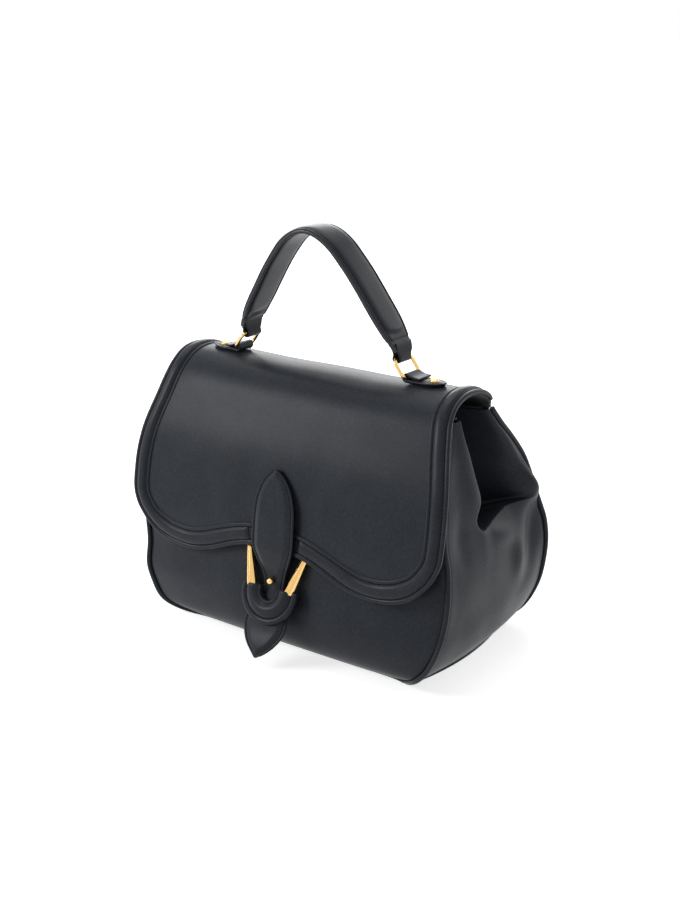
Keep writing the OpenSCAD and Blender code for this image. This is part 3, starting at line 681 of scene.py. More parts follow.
def calf_leather(name, tone, deep, roughness, grain_mm, relief):
    """Box calf, drum-dyed and lightly plated: fine closed pores, soft satin gloss, and a
    little unevenness where it has been worked. Real pores are about 0.3 mm apart; they are
    drawn at grain_mm so that they show."""
    material, tree, bsdf = shader(
        name, IOR=1.48, Specular_IOR_Level=0.15, Sheen_Weight=0.03, Sheen_Roughness=0.5)
    where = coordinates(tree)
    warp = texture(tree, where, 9, Detail=2.0)
    bent = node(tree, "VectorMath", [(0, warp.outputs["Color"]), (2, where)], operation="MULTIPLY_ADD")
    bent.inputs[1].default_value = (0.0006, 0.0006, 0.0006)
    pores = texture(tree, bent.outputs[0], grain_mm, "TexVoronoi")
    hide = texture(tree, where, 26, Detail=3.0, Roughness=0.55)
    cloud = texture(tree, where, 3.0, Detail=4.0, Roughness=0.6).outputs["Fac"]
    # Pores hold a little less dye, so the grain shows as a fine speckle
    speck = texture(tree, where, grain_mm * 1.6, Detail=1.0)
    dye = spread(tree, speck.outputs["Fac"], 0.80, 1.22, From_Min=0.3, From_Max=0.7)
    colour = ramp(tree, hide.outputs["Fac"], (0.30, deep), (0.72, tone))
    dyed = node(tree, "VectorMath", [(0, colour), ("Scale", dye)], operation="SCALE")
    tree.links.new(dyed.outputs[0], bsdf.inputs["Base Color"])
    tree.links.new(spread(tree, cloud, roughness - 0.05, roughness + 0.07), bsdf.inputs["Roughness"])
    fine = raised(tree, pores.outputs["Distance"], relief, 0.00012)
    tree.links.new(raised(tree, cloud, relief * 0.8, 0.0003, [("Normal", fine)]), bsdf.inputs["Normal"])
    return material


def edge_paint(name, tone):
    """Cut edges sealed with several coats of paint and burnished: darker and glossier."""
    material, tree, bsdf = shader(name, Roughness=0.34, IOR=1.5)
    where = coordinates(tree)
    runs = texture(tree, where, 2, Detail=2.0).outputs["Fac"]
    tree.links.new(ramp(tree, runs, (0.3, times(tone, 0.8)), (0.7, tone)), bsdf.inputs["Base Color"])
    tree.links.new(raised(tree, runs, 0.25, 0.0002), bsdf.inputs["Normal"])
    return material


def needle_channel(name, tone):
    """Painted shade for the groove that a row of stitches is pulled into: matte, darker than the leather."""
    return shader(name, Base_Color=(*tone, 1), Roughness=0.9, Specular_IOR_Level=0.05)[0]


def sewing_thread(name, tone):
    """Bonded polyester thread, twisted from three plies about 0.35 mm apart along it."""
    material, tree, bsdf = shader(name, Roughness=0.6, Specular_IOR_Level=0.15, IOR=1.5)
    where = coordinates(tree)
    ply_shade = texture(tree, where, 0.7, "TexWave", Distortion=1.5).outputs["Fac"]
    # The plies show as darker and lighter bands of colour: painted shade in the grooves between them and
    # painted highlight on their crowns
    colour = ramp(tree, ply_shade, (0.2, times(tone, 0.7)), (0.8, times(tone, 1.25)))
    tree.links.new(colour, bsdf.inputs["Base Color"])
    return material


def cotton_lining(name, tone):
    """Cotton twill: matte, with fine diagonal ribs. Real ribs are 0.5 mm apart; drawn at 1.1."""
    material, tree, bsdf = shader(name, Roughness=0.86, Sheen_Weight=0.2, IOR=1.46)
    where = coordinates(tree)
    turned = node(tree, "Mapping", [("Vector", where)], Rotation=(0.6, 0.7, 0.75)).outputs["Vector"]
    # The bands of a wave texture are finer than its scale, so it is taken down by 6.3
    ribs = texture(tree, turned, 1.1 * 6.3, "TexWave", Distortion=0.6, Detail=1.0)
    fluff = texture(tree, where, 14, Detail=4.0).outputs["Fac"]
    tree.links.new(ramp(tree, fluff, (0.3, times(tone, 0.85)), (0.7, tone)), bsdf.inputs["Base Color"])
    tree.links.new(raised(tree, ribs.outputs["Fac"], 0.4, 0.0002), bsdf.inputs["Normal"])
    return material


def plated_metal(name, tone, roughness):
    """Polished zinc casting with a thin metal plate: mirror-like, faintly clouded by handling."""
    material, tree, bsdf = shader(name, Base_Color=(*tone, 1), Metallic=1.0)
    where = coordinates(tree)
    wipe = texture(tree, where, 5, Detail=4.0, Roughness=0.6).outputs["Fac"]
    tree.links.new(spread(tree, wipe, roughness * 0.7, roughness * 1.5), bsdf.inputs["Roughness"])
    return material


def fibre_board(name, tone):
    """Pressed leather fibre: flecked, matte."""
    material, tree, bsdf = shader(name, Roughness=0.9)
    where = coordinates(tree)
    fleck = texture(tree, where, 2.5, Detail=5.0, Roughness=0.7).outputs["Fac"]
    tree.links.new(ramp(tree, fleck, (0.35, times(tone, 0.6)), (0.65, tone)), bsdf.inputs["Base Color"])
    return material


# Shared shaping of swept pieces
def swept(name, frames, section):
    """A closed section carried along a path. Each frame turns one point of the section
    (two numbers in mm) into a place; the ends are closed."""
    cols, rows = len(section), len(frames) - 1
    ob = shaped_grid(name, cols, rows, lambda u, v: frames[round(v * rows)](*section[round(u * cols) % cols]))
    return close_up(ob, caps=True)


def lathe(name, profile, matrix, around=40):
    """A profile of (radius, height) in mm turned about Z and put in place by matrix."""
    rows = len(profile) - 1
    flat = [Vector((r, 0, h)) for r, h in profile]

    def place(u, v):
        return matrix @ (Matrix.Rotation(2 * pi * u, 3, "Z") @ flat[round(v * rows)])
    return close_up(shaped_grid(name, around, rows, place))


def facing(origin, direction, roll=(1, 0, 0)):
    """Matrix that stands a lathe on origin with its axis along direction."""
    z = Vector(direction).normalized()
    x = (Vector(roll) - z * Vector(roll).dot(z)).normalized()
    y = z.cross(x)
    m = Matrix((x, y, z)).transposed().to_4x4()
    m.translation = Vector(origin)
    return m


def mirrored(p, side):
    return Vector((p[0] * side, p[1], p[2]))


def in_plane(*points):
    """Points in the XZ plane."""
    return [Vector((x, 0, z)) for x, z in points]


def arc(radius, first, sweep, steps):
    """Points of an arc about zero in the XZ plane, its angles in degrees."""
    turns = [radians(first + sweep * i / steps) for i in range(steps + 1)]
    return in_plane(*((radius * cos(a), radius * sin(a)) for a in turns))


def folded_strip(name, path, half_at, origin, middle, side):
    """A strip of leather bent along path, which starts from origin, with half_at(point) as its
    half width. Its outer face looks away from middle."""
    path = smooth_line(path, 1)
    last = len(path) - 1

    def place(u, v):
        p = path[round(v * last)]
        return mirrored(origin + p + Vector((0, half_at(p) * (2 * u - 1), 0)), side)
    ob = shaped_grid(name, 14, last, place)
    centre = mirrored(origin + middle, side) * MM
    face_along(ob, lambda p: p - centre)
    modify(ob, "SOLIDIFY", thickness=FOLD_T * MM, offset=0.0)
    return round_edges(ob, 0.35 * MM, 50)


def seam_roll(e):
    """How far leather dips where it turns into a corded seam, e mm away from it."""
    return 2.2 * (1 - min(1.0, e / 5.5)) ** 2


def hem(roll, out):
    """How a panel's edge moves as it rolls under the bag, roll from 0 to 1. out is the way that
    the panel faces."""
    return Vector((0, -TUCK * roll * out, -DROP * sin(roll * pi / 2)))


# Operators, one for each piece or group of like pieces
class BAG_OT_finishes(bpy.types.Operator):
    """Makes the materials"""
    bl_idname = "bag.finishes"
    bl_label = "Finishes"

    def execute(self, context):
        c = colours()
        MATERIALS["leather"] = calf_leather("calf_leather_satin", c.leather, c.leather_deep, 0.40, 1.1, 0.16)
        MATERIALS["flap"] = calf_leather("calf_leather_flap", c.leather, c.leather_deep, 0.37, 1.1, 0.14)
        MATERIALS["trim"] = calf_leather("calf_leather_trim", c.leather, c.leather_deep, 0.33, 0.9, 0.12)
        MATERIALS["edge"] = edge_paint("edge_paint", c.edge)
        MATERIALS["thread"] = sewing_thread("sewing_thread_bonded", c.thread)
        # Painted shade for the needle channels under the stitches
        MATERIALS["channel"] = needle_channel("needle_channel", c.channel)
        MATERIALS["lining"] = cotton_lining("cotton_twill_lining", c.lining)
        MATERIALS["gold"] = plated_metal("gold_plate_polished", c.gold, 0.09)
        MATERIALS["nickel"] = plated_metal("nickel_plate_satin", c.nickel, 0.28)
        MATERIALS["board"] = fibre_board("leather_fibre_board", c.board)
        return {"FINISHED"}


class BAG_OT_panels(bpy.types.Operator):
    """Front and back leather panels"""
    bl_idname = "bag.panels"
    bl_label = "Front and back"

    def execute(self, context):
        s = sizes()
        # The lowest share of each sheet rolls under, down to the floor
        under = 0.07
        # Name, surface, way it faces, unevenness (size, seed), and how far it sags a little
        # under the load, as soft leather does over a hard base
        sheets = (("front_panel", front_point, -1, 70, 3, 0), ("back_panel", back_point, 1, 80, 9, 2.2))
        for name, point, out, size, seed, sag in sheets:
            def place(u, v, point=point, out=out, size=size, seed=seed, sag=sag):
                w = max(0.0, v - under) / (1 - under) * (len(BODY) - 1)
                roll, a = 1 - min(1.0, v / under), 2 * u - 1
                p = point(w, a, 1.0)
                e = (1 - abs(a)) * mm(s.body_w) / 2
                p.y -= out * seam_roll(e)
                p.y += out * (slack(p, size, 1.6, seed) * ease(e / 25) * ease(p.z / 30))
                p.y += sag * exp(-((p.z - 40) / 26) ** 2) * (1 - abs(a) ** 2.5)
                return p + Vector((-1.5 * a * roll, 0, 0)) + hem(roll, out)
            ob = face_along(shaped_grid(name + "_leather", 110, 80, place), (0, out, 0))
            done(thicken(ob, mm(s.panel_t)), "leather", "bag", "leather", name)
        return {"FINISHED"}


class BAG_OT_gussets(bpy.types.Operator):
    """Folded leather gussets"""
    bl_idname = "bag.gussets"
    bl_label = "Gussets"

    def execute(self, context):
        under = 0.05
        for side, label in SIDES:
            def place(u, v, side=side):
                w = max(0.0, v - under) / (1 - under) * (len(BODY) - 1)
                roll = 1 - min(1.0, v / under)
                p = gusset_point(w, u, 1.0)
                e = min(u, 1 - u) * (back_seam(w)[1] - front_seam(w)[1])
                p.x -= seam_roll(e) * 0.9
                p.x += slack(p, 40, 1.6, 5 * side) * ease(e / 18) * ease(p.z / 30)
                p += Vector((-TUCK * roll, 0, -DROP * sin(roll * pi / 2)))
                return mirrored(p, side)
            ob = face_along(shaped_grid("gusset_%s_leather" % label, 96, 150, place), (side, 0, 0))
            done(thicken(ob, mm(sizes().panel_t)), "leather", "bag", "leather", "gusset_" + label)
        return {"FINISHED"}


def seam_line(front):
    """The corded seam round a panel, from the left top down, under and up to the right top."""
    last = len(BODY) - 1
    seam = front_seam if front else back_seam
    rows = [last * i / 90 for i in range(90, 0, -1)]
    left = [seam(w, -1) for w in rows]
    foot = seam(0, -1)
    inward = 1 if front else -1
    start, low = left[-1].copy(), Vector((foot.x * 0.86, foot.y + inward * 4.8, 2.1))
    mid = Vector((foot.x * 0.97, foot.y + inward * 2.6, 2.2))
    turn = [(1 - t) ** 2 * start + 2 * t * (1 - t) * mid + t * t * low for t in (i / 9 for i in range(1, 9))]
    run = [low.lerp(mirrored(low, -1), i / 60) for i in range(61)]
    path = left + turn + run + [mirrored(p, -1) for p in reversed(left + turn)]
    return even(smooth_line(path, 3), 2.0)


class BAG_OT_piping(bpy.types.Operator):
    """Corded piping in the two long seams"""
    bl_idname = "bag.piping"
    bl_label = "Piping"

    def execute(self, context):
        for front, name in ((True, "front_piping"), (False, "back_piping")):
            ob = tube(name + "_leather", seam_line(front), mm(sizes().piping_d) / 2)
            done(ob, "trim", "bag", "leather", name)
        return {"FINISHED"}


def floor_outline(inset):
    """The bag's outline on the floor, drawn in by inset mm."""
    front = [front_point(0, -1 + i / 20) for i in range(41)]
    right = [gusset_point(0, i / 12) for i in range(1, 12)]
    back = [mirrored(back_point(0, -1 + i / 20), -1) for i in range(41)]
    left = [mirrored(gusset_point(0, 1 - i / 12), -1) for i in range(1, 12)]
    wide = gusset_point(0, 0.5)[0]
    low = front_seam(0)[1] + 3 + mm(sizes().piping_d) / 2 + inset
    high = back_seam(0)[1] - 3 - mm(sizes().piping_d) / 2 - inset
    points = front + right + back + left
    return [Vector((p.x * (1 - inset / wide), max(low, min(high, p.y)), 0)) for p in points]


def plate(name, z, thickness, inset, edge_mm):
    """A flat piece that lies at height z."""
    outline = floor_outline(inset)
    points = even(outline + outline[:1], 3.0)[:-1]
    ob = from_faces(name, [Vector((p.x, p.y, z + thickness)) * MM for p in points],
                    [tuple(range(len(points)))])
    return thicken(face_along(ob, (0, 0, 1)), thickness, edge_mm)


class BAG_OT_base(bpy.types.Operator):
    """Leather base, its board and the base lining"""
    bl_idname = "bag.base"
    bl_label = "Base"

    def execute(self, context):
        done(plate("base_panel_leather", 0, 3.0, 0.5, 0.8), "leather", "bag", "leather", "base_panel")
        done(plate("base_board_fibre", 3.0, 2.0, 12, 0.3), "board", "bag", "board", "base_board")
        done(plate("base_lining_twill", 5.05, 0.75, 12, 0.2), "lining", "bag", "lining", "lining_base")
        return {"FINISHED"}


class BAG_OT_mouth(bpy.types.Operator):
    """Binding along the mouth"""
    bl_idname = "bag.mouth"
    bl_label = "Mouth binding"

    def execute(self, context):
        top = len(BODY) - 1
        rise = Vector((0, 0, 1.9))
        inset = 2.4
        side = [gusset_point(top, 0.9 - 0.84 * i / 24, inset) + rise - Vector((2.6, 0, 0)) for i in range(25)]
        front = [front_point(top, -0.86 + 1.72 * i / 60,
                             inset) + rise + Vector((0, 1.1, 0)) for i in range(61)]
        path = [mirrored(p, -1) for p in side] + front + side[::-1]
        binding = tube("mouth_binding_leather", even(smooth_line(path, 2), 2.0), 1.3)
        done(binding, "trim", "bag", "leather", "mouth_binding")
        return {"FINISHED"}


class BAG_OT_linings(bpy.types.Operator):
    """Twill lining of the body"""
    bl_idname = "bag.linings"
    bl_label = "Lining"

    def execute(self, context):
        top = len(BODY) - 1
        s = sizes()
        inset = 5

        def hang(w, u):
            """The side's lining, which hangs straighter than the folded leather."""
            a, b = front_seam(w), back_seam(w)
            st = station(w)
            v = mix(inset / (b[1] - a[1]), 1 - inset / (b[1] - a[1]), u)
            x = mix(a[0], b[0], v) + st.side * sin(pi * v) ** 0.7
            x -= 1.75 * st.fold * ease(u / 0.2) * ease((1 - u) / 0.2)
            return Vector((x, mix(a[1], b[1], v), st.z))

        sheets = (
            ("lining_front", lambda u, v: front_point(v * top, 2 * u - 1, inset), (0, -1, 0)),
            ("lining_back", lambda u, v: back_point(v * top, 2 * u - 1, inset), (0, 1, 0)),
            ("lining_right", lambda u, v: hang(v * top, u), (1, 0, 0)),
            ("lining_left", lambda u, v: mirrored(hang(v * top, u), -1), (-1, 0, 0)),
        )
        for name, place, out in sheets:
            ob = face_along(shaped_grid(name + "_twill", 60, 60, place), out)
            modify(ob, "DISPLACE", strength=-(mm(s.panel_t) + GAP) * MM, mid_level=0.0)
            done(thicken(ob, LINING_T, 0), "lining", "bag", "lining", name)
        return {"FINISHED"}


class BAG_OT_snap(bpy.types.Operator):
    """Hidden magnetic snap under the flap"""
    bl_idname = "bag.snap"
    bl_label = "Snap"

    def execute(self, context):
        height = 0.53 * mm(sizes().body_h)
        radius = 9.0
        disc = ((0, 0), (8.6, 0), (radius, 0.3), (radius, 1.1), (8.6, 1.5), (7.4, 1.5), (7.0, 1.2),
                (2.6, 1.2),
                (2.3, 1.5), (0, 1.5))
        # Where the leather lies at each height, behind and in front of the snap
        body = [(station(i).z, station(i).front + SHIFT_Y) for i in range(len(BODY))]
        flap = [(z, y + mm(sizes().flap_t) + GAP + LINING_T) for y, z in reversed(flap_knots()[7:])]
        for name, line, off, sign, rides in (
                ("snap_body", body, -GAP, -1, "bag"), ("snap_flap", flap, 1.5 * GAP, 1, "flap")):
            slope = (lookup(height + radius, line) - lookup(height - radius, line)) / (2 * radius)
            stand = facing((0, lookup(height, line) + off, height), Vector((0, sign, -sign * slope)))
            done(lathe(name + "_plate", disc, stand), "nickel", rides, "hardware", name)
        return {"FINISHED"}


class BAG_OT_flap(bpy.types.Operator):
    """Flap leather and its lining"""
    bl_idname = "bag.flap"
    bl_label = "Flap"

    def execute(self, context):
        form = FlapForm()
        s = sizes()
        count = 120
        crown = form.runs[4]
        # Columns lie even across the middle and crowd a little towards the corners
        even_steps = [90 * (-1 + 2 * i / count) for i in range(count + 1)]
        angles = [90 * sin(radians(a)) * 0.35 + a * 0.65 for a in even_steps]

        def give(x, q):
            """How far the soft leather stands off its form."""
            edge = (1 - abs(x) / form.half_at(form.place(q))) * form.half
            soft = slack(Vector((x, q, 0)), 80, 0.8, 2) * ease(edge / 30) * ease(q / 30)
            soft *= ease((form.edge_run(0) - q) / 60)
            # It draws in slightly beside the strap and where the snap holds it
            dimple = -0.9 * exp(-((abs(x) - 30) / 12) ** 2) * exp(-((q - form.run_at_height(0.56)) / 34) ** 2)
            # The crown sinks a little between the tabs
            sag = -(1.7 + 0.7 * x / 75) * ease((104 - abs(x)) / 60) * exp(-((q - crown) / 34) ** 2)
            return soft + dimple + sag

        def sheet(name, rows, inset, off):
            def place(u, v):
                x, q = form.column(angles[round(u * count)], v, inset)
                return form.point(x, q, give(x, q) - off)
            return face_along(shaped_grid(name, count, rows, place), (0, -1, 1))
        leather = thicken(sheet("flap_leather", 120, 0.4, 0), mm(s.flap_t) - 0.1)
        done(leather, "flap", "flap", "leather", "flap_panel")
        lining = thicken(sheet("flap_lining_twill", 80, 0.45, mm(s.flap_t) + GAP), LINING_T, 0)
        done(lining, "lining", "flap", "lining", "flap_lining")
        return {"FINISHED"}


# Distance between two sections of the border band, mm
BAND_STEP = 1.5
# Section of the border band: across from the flap's edge and height over the flap, in mm
BAND = (
    (1.2, -0.15), (0.3, -1.5), (-0.4, -2.0), (-0.95, -1.3), (-1.1, -0.3), (-1.0, 0.7), (-0.55, 1.25),
    (0.1, 1.5), (1.0, 1.5), (1.8, 1.3), (2.35, 0.75), (2.8, 0.55), (3.2, 0.8), (3.8, 1.6), (4.7, 2.3),
    (6.0, 2.8), (7.3, 3.0), (8.5, 3.05), (9.7, 2.95), (11.0, 2.65), (12.0, 2.1), (12.7, 1.4),
    (13.2, 0.75), (13.6, 0.5), (14.0, 0.75), (14.6, 1.2), (15.5, 1.3), (16.3, 1.1), (16.8, 0.6),
    (16.9, 0.1), (16.0, 0.05), (9.0, 0.05), (2.0, 0.05),
)


class BAG_OT_border(bpy.types.Operator):
    """Raised border band round the flap with its two rows of stitches"""
    bl_idname = "bag.border"
    bl_label = "Border band"

    def execute(self, context):
        form = FlapForm()
        start = degrees(asin((mm(sizes().strap_w) / 2 + GAP) / form.half))
        line = form.edge_line(start)
        count = len(line)
        inwards = []
        for i in range(count):
            d = (line[min(i + 2, count - 1)] - line[max(i - 2, 0)]).normalized()
            inwards.append(Vector((d.y, -d.x)))
        inwards[0] = inwards[1] = Vector((0, -1))
        runs = []
        for side, label in SIDES:
            def frame_at(i, side=side):
                p, n = line[i], inwards[i]
                # The cord pulls a little unevenly, is thin beside the strap and stops short of the end
                wave = 0.18 * noise.noise(Vector((i / 9, side * 4, 0)))
                run = i * BAND_STEP
                plump = mix(0.66, 1.0, ease((run - 14) / 40)) * ease((run - 2.2) / 3.5)

                def at(c, h):
                    high = h + (wave if h > 1.7 else 0)
                    if 2.9 < c < 13.5:
                        high = 0.6 + (high - 0.6) * plump
                        high -= 0.35 * exp(-((run - 3.0) / 0.8) ** 2)
                    end = min(i, count - 1 - i)
                    if end < 2 and h > 0.1:
                        high -= (0.4, 0.1)[end]
                    q = p + n * c
                    return mirrored(form.point(q.x, q.y, high), side)
                return at
            ob = swept("border_%s_leather" % label, [frame_at(i) for i in range(count)], BAND)
            done(ob, "trim", "flap", "leather", "border_" + label)

            def row(places, h, side=side):
                """Stitches at places (index along the edge, mm in from it), h mm over the flap."""
                spots = [line[i] + inwards[i] * c for i, c in places]
                runs.append([form.sewn(q.x, q.y, h, side) for q in spots])
            row([(i, 2.8) for i in range(1, count - 1)], 0.62)
            row([(i, 13.6) for i in range(1, count - 1)], 0.58)
            # A short row across the squared end beside the strap
            row([(2, 3.2 + 10 * k / 11) for k in range(12)], 0.45)
        stitches("border_stitching", runs, "flap")
        return {"FINISHED"}


def strap_at(w):
    """Centre of the strap's outer face, the direction out of it, and its half width."""
    s = sizes()
    rows = [(a * mm(s.body_d) + SHIFT_Y, b * mm(s.body_h), c * mm(s.strap_w)) for a, b, c in STRAP]
    y, z, half = cubic(rows, w)
    a, b = cubic(rows, w - 0.15), cubic(rows, w + 0.15)
    if w < 0.15:
        a = cubic(rows, 0)
    d = Vector((b[0] - a[0], b[1] - a[1])).normalized()
    # It is sewn on a little to the right of the middle, with its tip turned to the left
    x = mix(2.6, -1.2, w / (len(STRAP) - 1)) - 4.5 * (1 - ease(w / 4.5))
    return Vector((x, y, z)), Vector((0, d[1], -d[0])), max(0.6, half)


def strap_relief(e, half):
    """Height of the strap's face at e mm from its edge: bead, stitch groove and pad."""
    bead = -1.0 * (1 - min(1.0, e / 0.8)) ** 2
    groove = -0.6 * exp(-((e - 2.7) / 0.5) ** 2) * ease((half - 3.4) / 2)
    pad = 1.25 * ease((e - 2.9) / 5.5)
    return bead + groove + pad


class BAG_OT_strap(bpy.types.Operator):
    """Closure strap, its stitches and its ball stud"""
    bl_idname = "bag.strap"
    bl_label = "Closure strap"

    def execute(self, context):
        last = len(STRAP) - 1

        def place(u, v):
            c, out, half = strap_at(v * last)
            # Columns crowd at the edges, where the stitch groove runs
            a = sin(pi / 2 * (2 * u - 1))
            e = (1 - abs(a)) * half
            return c + Vector((a * half, 0, 0)) + out * strap_relief(e, half)

        ob = face_along(shaped_grid("closure_strap_leather", 64, 190, place), (0, -1, 0))
        thicken(ob, mm(sizes().strap_t) - 0.2, 0.4)
        done(ob, "trim", "flap", "leather", "closure_strap")
        # The stitches lie in the groove, except where the strap is too narrow for two rows
        spots = [strap_at(0.7 + (last - 1.4) * i / 160) for i in range(161)]
        runs = []
        for side, _ in SIDES:
            runs.append([(c + Vector((side * (half - 2.7), 0, 0)) + out * -0.5, out)
                         for c, out, half in spots if half > 4.2])
        stitches("strap_stitching", runs, "flap")
        c, out, _ = strap_at(9)
        ball = [(0, 0), (1.3, 0), (1.25, 1.2), (1.6, 1.5)]
        radius = 3.1
        turns = [radians(-48 + 138 * i / 12) for i in range(12)]
        ball += [(radius * cos(a), 3.8 + radius * sin(a)) for a in turns] + [(0, 6.9)]
        done(lathe("strap_ball", ball, facing(c + out * 0.6, out)), "gold", "flap", "hardware", "strap_stud")
        washer = ((1.4, 0), (3.4, 0), (3.7, 0.3), (3.4, 0.75), (2.4, 0.85), (1.5, 0.6), (1.4, 0))
        done(lathe("strap_ball_washer", washer, facing(c + out * 0.35, out)), "edge", "flap", "leather")
        return {"FINISHED"}


# The buckle hangs leaning out and a little crooked, its left side low; its bars spread, degrees
BUCKLE_LEAN = 21.4
BUCKLE_ROLL = -1.6
BAR_SPREAD = 17.0
# Radius of the bars' half circle, and how far under the crossbar they enter the wrap and the
# wrap's own half circle has its middle, mm
FOOT_R = 20
BAR_FOOT = 37
WRAP_FOOT = 40.3


def buckle_matrix():
    s = sizes()
    m = Matrix.Rotation(radians(-BUCKLE_LEAN), 4, "X") @ Matrix.Rotation(radians(BUCKLE_ROLL), 4, "Y")
    m.translation = Vector((-1.2, -0.357 * mm(s.body_d) + SHIFT_Y, 0.418 * mm(s.body_h)))
    return m


# Section of the padded wrap: distance from the middle of its half circle, and towards the back
WRAP_MID = 18.3
WRAP_SEAM = 23.1
WRAP = (
    (8.0, 0.0), (8.1, -1.6), (8.6, -2.7), (9.4, -3.1), (10.2, -2.8), (10.8, -2.3), (11.5, -2.9),
    (13.0, -4.0), (15.0, -4.7), (17.0, -4.8), (19.0, -4.4), (21.0, -3.4), (22.4, -2.2), (23.1, -1.5),
    (23.8, -1.75), (24.8, -2.3), (26.2, -2.4), (27.4, -2.1), (28.2, -1.4), (28.4, -0.5), (28.4, 0.7),
    (28.0, 1.7), (26.6, 2.2), (24.0, 2.5), (19.5, 3.2), (14.0, 3.2), (10.2, 2.7), (8.5, 1.6),
)


class BAG_OT_buckle(bpy.types.Operator):
    """Horseshoe buckle: gold bars, crossbar, padded leather wrap and the loop it hangs in"""
    bl_idname = "bag.buckle"
    bl_label = "Buckle"

    def execute(self, context):
        m = buckle_matrix()
        top_x = FOOT_R + BAR_FOOT * tan(radians(BAR_SPREAD))
        profile = ((0, -2.0), (0.8, -1.86), (1.45, -1.4), (1.9, -0.6), (2.05, 0.5), (2.2, 6), (2.5, 14),
                   (2.85, 22),
                   (3.2, 30), (3.45, 37), (3.5, 40.3), (0, 40.3))
        flattened = Matrix.Diagonal((1.32, 1.0, 1.0, 1.0))
        bars = []
        for side, _ in SIDES:
            foot, head = m @ Vector((side * FOOT_R, 0, -BAR_FOOT)), m @ Vector((side * top_x, 0, 0))
            bars.append(lathe("bar", profile, facing(head, foot - head) @ flattened, around=36))
        cross = ((0, -1.2), (1.2, -1.0), (1.4, 0), (1.4, 2 * top_x), (1.2, 2 * top_x + 1.0),
                 (0, 2 * top_x + 1.2))
        end = facing(m @ Vector((-top_x, 0, 0)), (1, 0, 0), (0, 1, 0))
        bars.append(lathe("crossbar", cross, end, around=24))
        turns = [pi + pi * i / 40 for i in range(41)]
        core = in_plane(*((FOOT_R * cos(a), -35.25 + FOOT_R * sin(a)) for a in turns))
        bars.append(tube("core", [m @ p for p in core], 1.98))
        done(join("buckle_bars", bars), "gold", "buckle", "hardware", "buckle_frame")

        def frame_at(s, bulge):
            """s below 0 or above 1 runs up the straight ends; between them it goes round."""
            a = pi + pi * max(0.0, min(1.0, s))
            up = max(0.0, -s, s - 1)

            def at(r, h):
                r = WRAP_MID + (r - WRAP_MID) * (0.9 + 0.1 * bulge)
                return m @ Vector((r * cos(a), h * bulge, -WRAP_FOOT + r * sin(a) + up))
            return at
        frames = [frame_at(-3.2, 0.80), frame_at(-2.8, 0.93), frame_at(-2.2, 1), frame_at(-1, 1)]
        frames += [frame_at(i / 64, 1) for i in range(65)]
        frames += [frame_at(2, 1), frame_at(3.2, 1), frame_at(3.8, 0.93), frame_at(4.2, 0.80)]
        done(swept("buckle_wrap_leather", frames, WRAP), "trim", "buckle", "leather", "buckle_wrap")
        runs = []
        turns = [pi + pi * (-0.03 + 1.06 * i / 80) for i in range(81)]
        for y, way in ((-1.6, -1), (2.35, 1)):
            n = (m @ Vector((0, way, 0))) - (m @ Vector((0, 0, 0)))
            runs.append([(m @ Vector((WRAP_SEAM * cos(a), y, -WRAP_FOOT + WRAP_SEAM * sin(a))), n)
                         for a in turns])
        stitches("wrap_stitching", runs, "buckle")

        # Leather loop that carries the crossbar, folded back on to the flap
        c, tilt = m.translation, Matrix.Rotation(radians(BUCKLE_ROLL), 3, "Y")
        path = in_plane((-5.0, 2.2), (-2.6, 2.2)) + arc(2.2, 90, -180, 16)
        path += in_plane((-2.6, -2.2), (-5.0, -2.2))
        last = len(path) - 1

        def place(u, v):
            p = path[round(v * last)]
            return c + tilt @ Vector((22 * (u - 0.5), p.x, p.z))
        ob = face_along(shaped_grid("buckle_loop_leather", 8, last, place), lambda p: p - c * MM)
        modify(ob, "SOLIDIFY", thickness=0.9 * MM, offset=0.0)
        done(ob, "leather", "flap", "leather", "buckle_chape")
        return {"FINISHED"}


# Lower and upper bar of the right ring, mm; how the rings lean out (degrees) and how far
# the handle's arch leans forward at its top (mm)
RING_FOOT = Vector((88.11, -15.3, 247.2))
RING_TOP = Vector((78.0, -15.3, 261.115))
RING_LEAN = 36.0
HANDLE_LEAN = -10.5


class BAG_OT_rings(bpy.types.Operator):
    """Gold rings that join the handle to the flap"""
    bl_idname = "bag.rings"
    bl_label = "Rings"

    def execute(self, context):
        half, high, r = 12.0, 17.2, 5.0
        corners = ((half - r, high - r, 0), (r - half, high - r, 90), (r - half, r, 180), (half - r, r, 270))
        flat = []
        for y, z, first in corners:
            turns = [radians(first + a) for a in range(0, 91, 9)]
            flat += [Vector((0, y + r * cos(a), z + r * sin(a))) for a in turns]
        turn = Matrix.Rotation(radians(-RING_LEAN), 3, "Y")
        for side, label in SIDES:
            path = [mirrored(RING_FOOT + turn @ p, side) for p in flat]
            ob = tube("ring_%s_gold" % label, path, mm(sizes().ring_wire) / 2, cyclic=True, resolution=6)
            done(ob, "gold", "ring_" + label[0], "hardware", "ring_" + label)
        return {"FINISHED"}


# Length of a ring's tab from the ring's lower bar out, and how far it reaches in from there; where
# its rivet sits, mm
TAB_L = 32.0
TAB_BACK = 1.2
RIVET_AT = 21


def tab_x(t):
    return RING_FOOT.x - TAB_BACK + t * (TAB_L + TAB_BACK)


def tab_half(t):
    """Half width of a ring's tab at the share t of its length: straight, then to a point."""
    return lookup(t, ((0, 9.6), (0.5, 9.6), (0.62, 9.3), (0.74, 8.3), (0.84, 6.7), (0.92, 4.7), (0.97, 2.9),
                      (1.0, 1.4)))


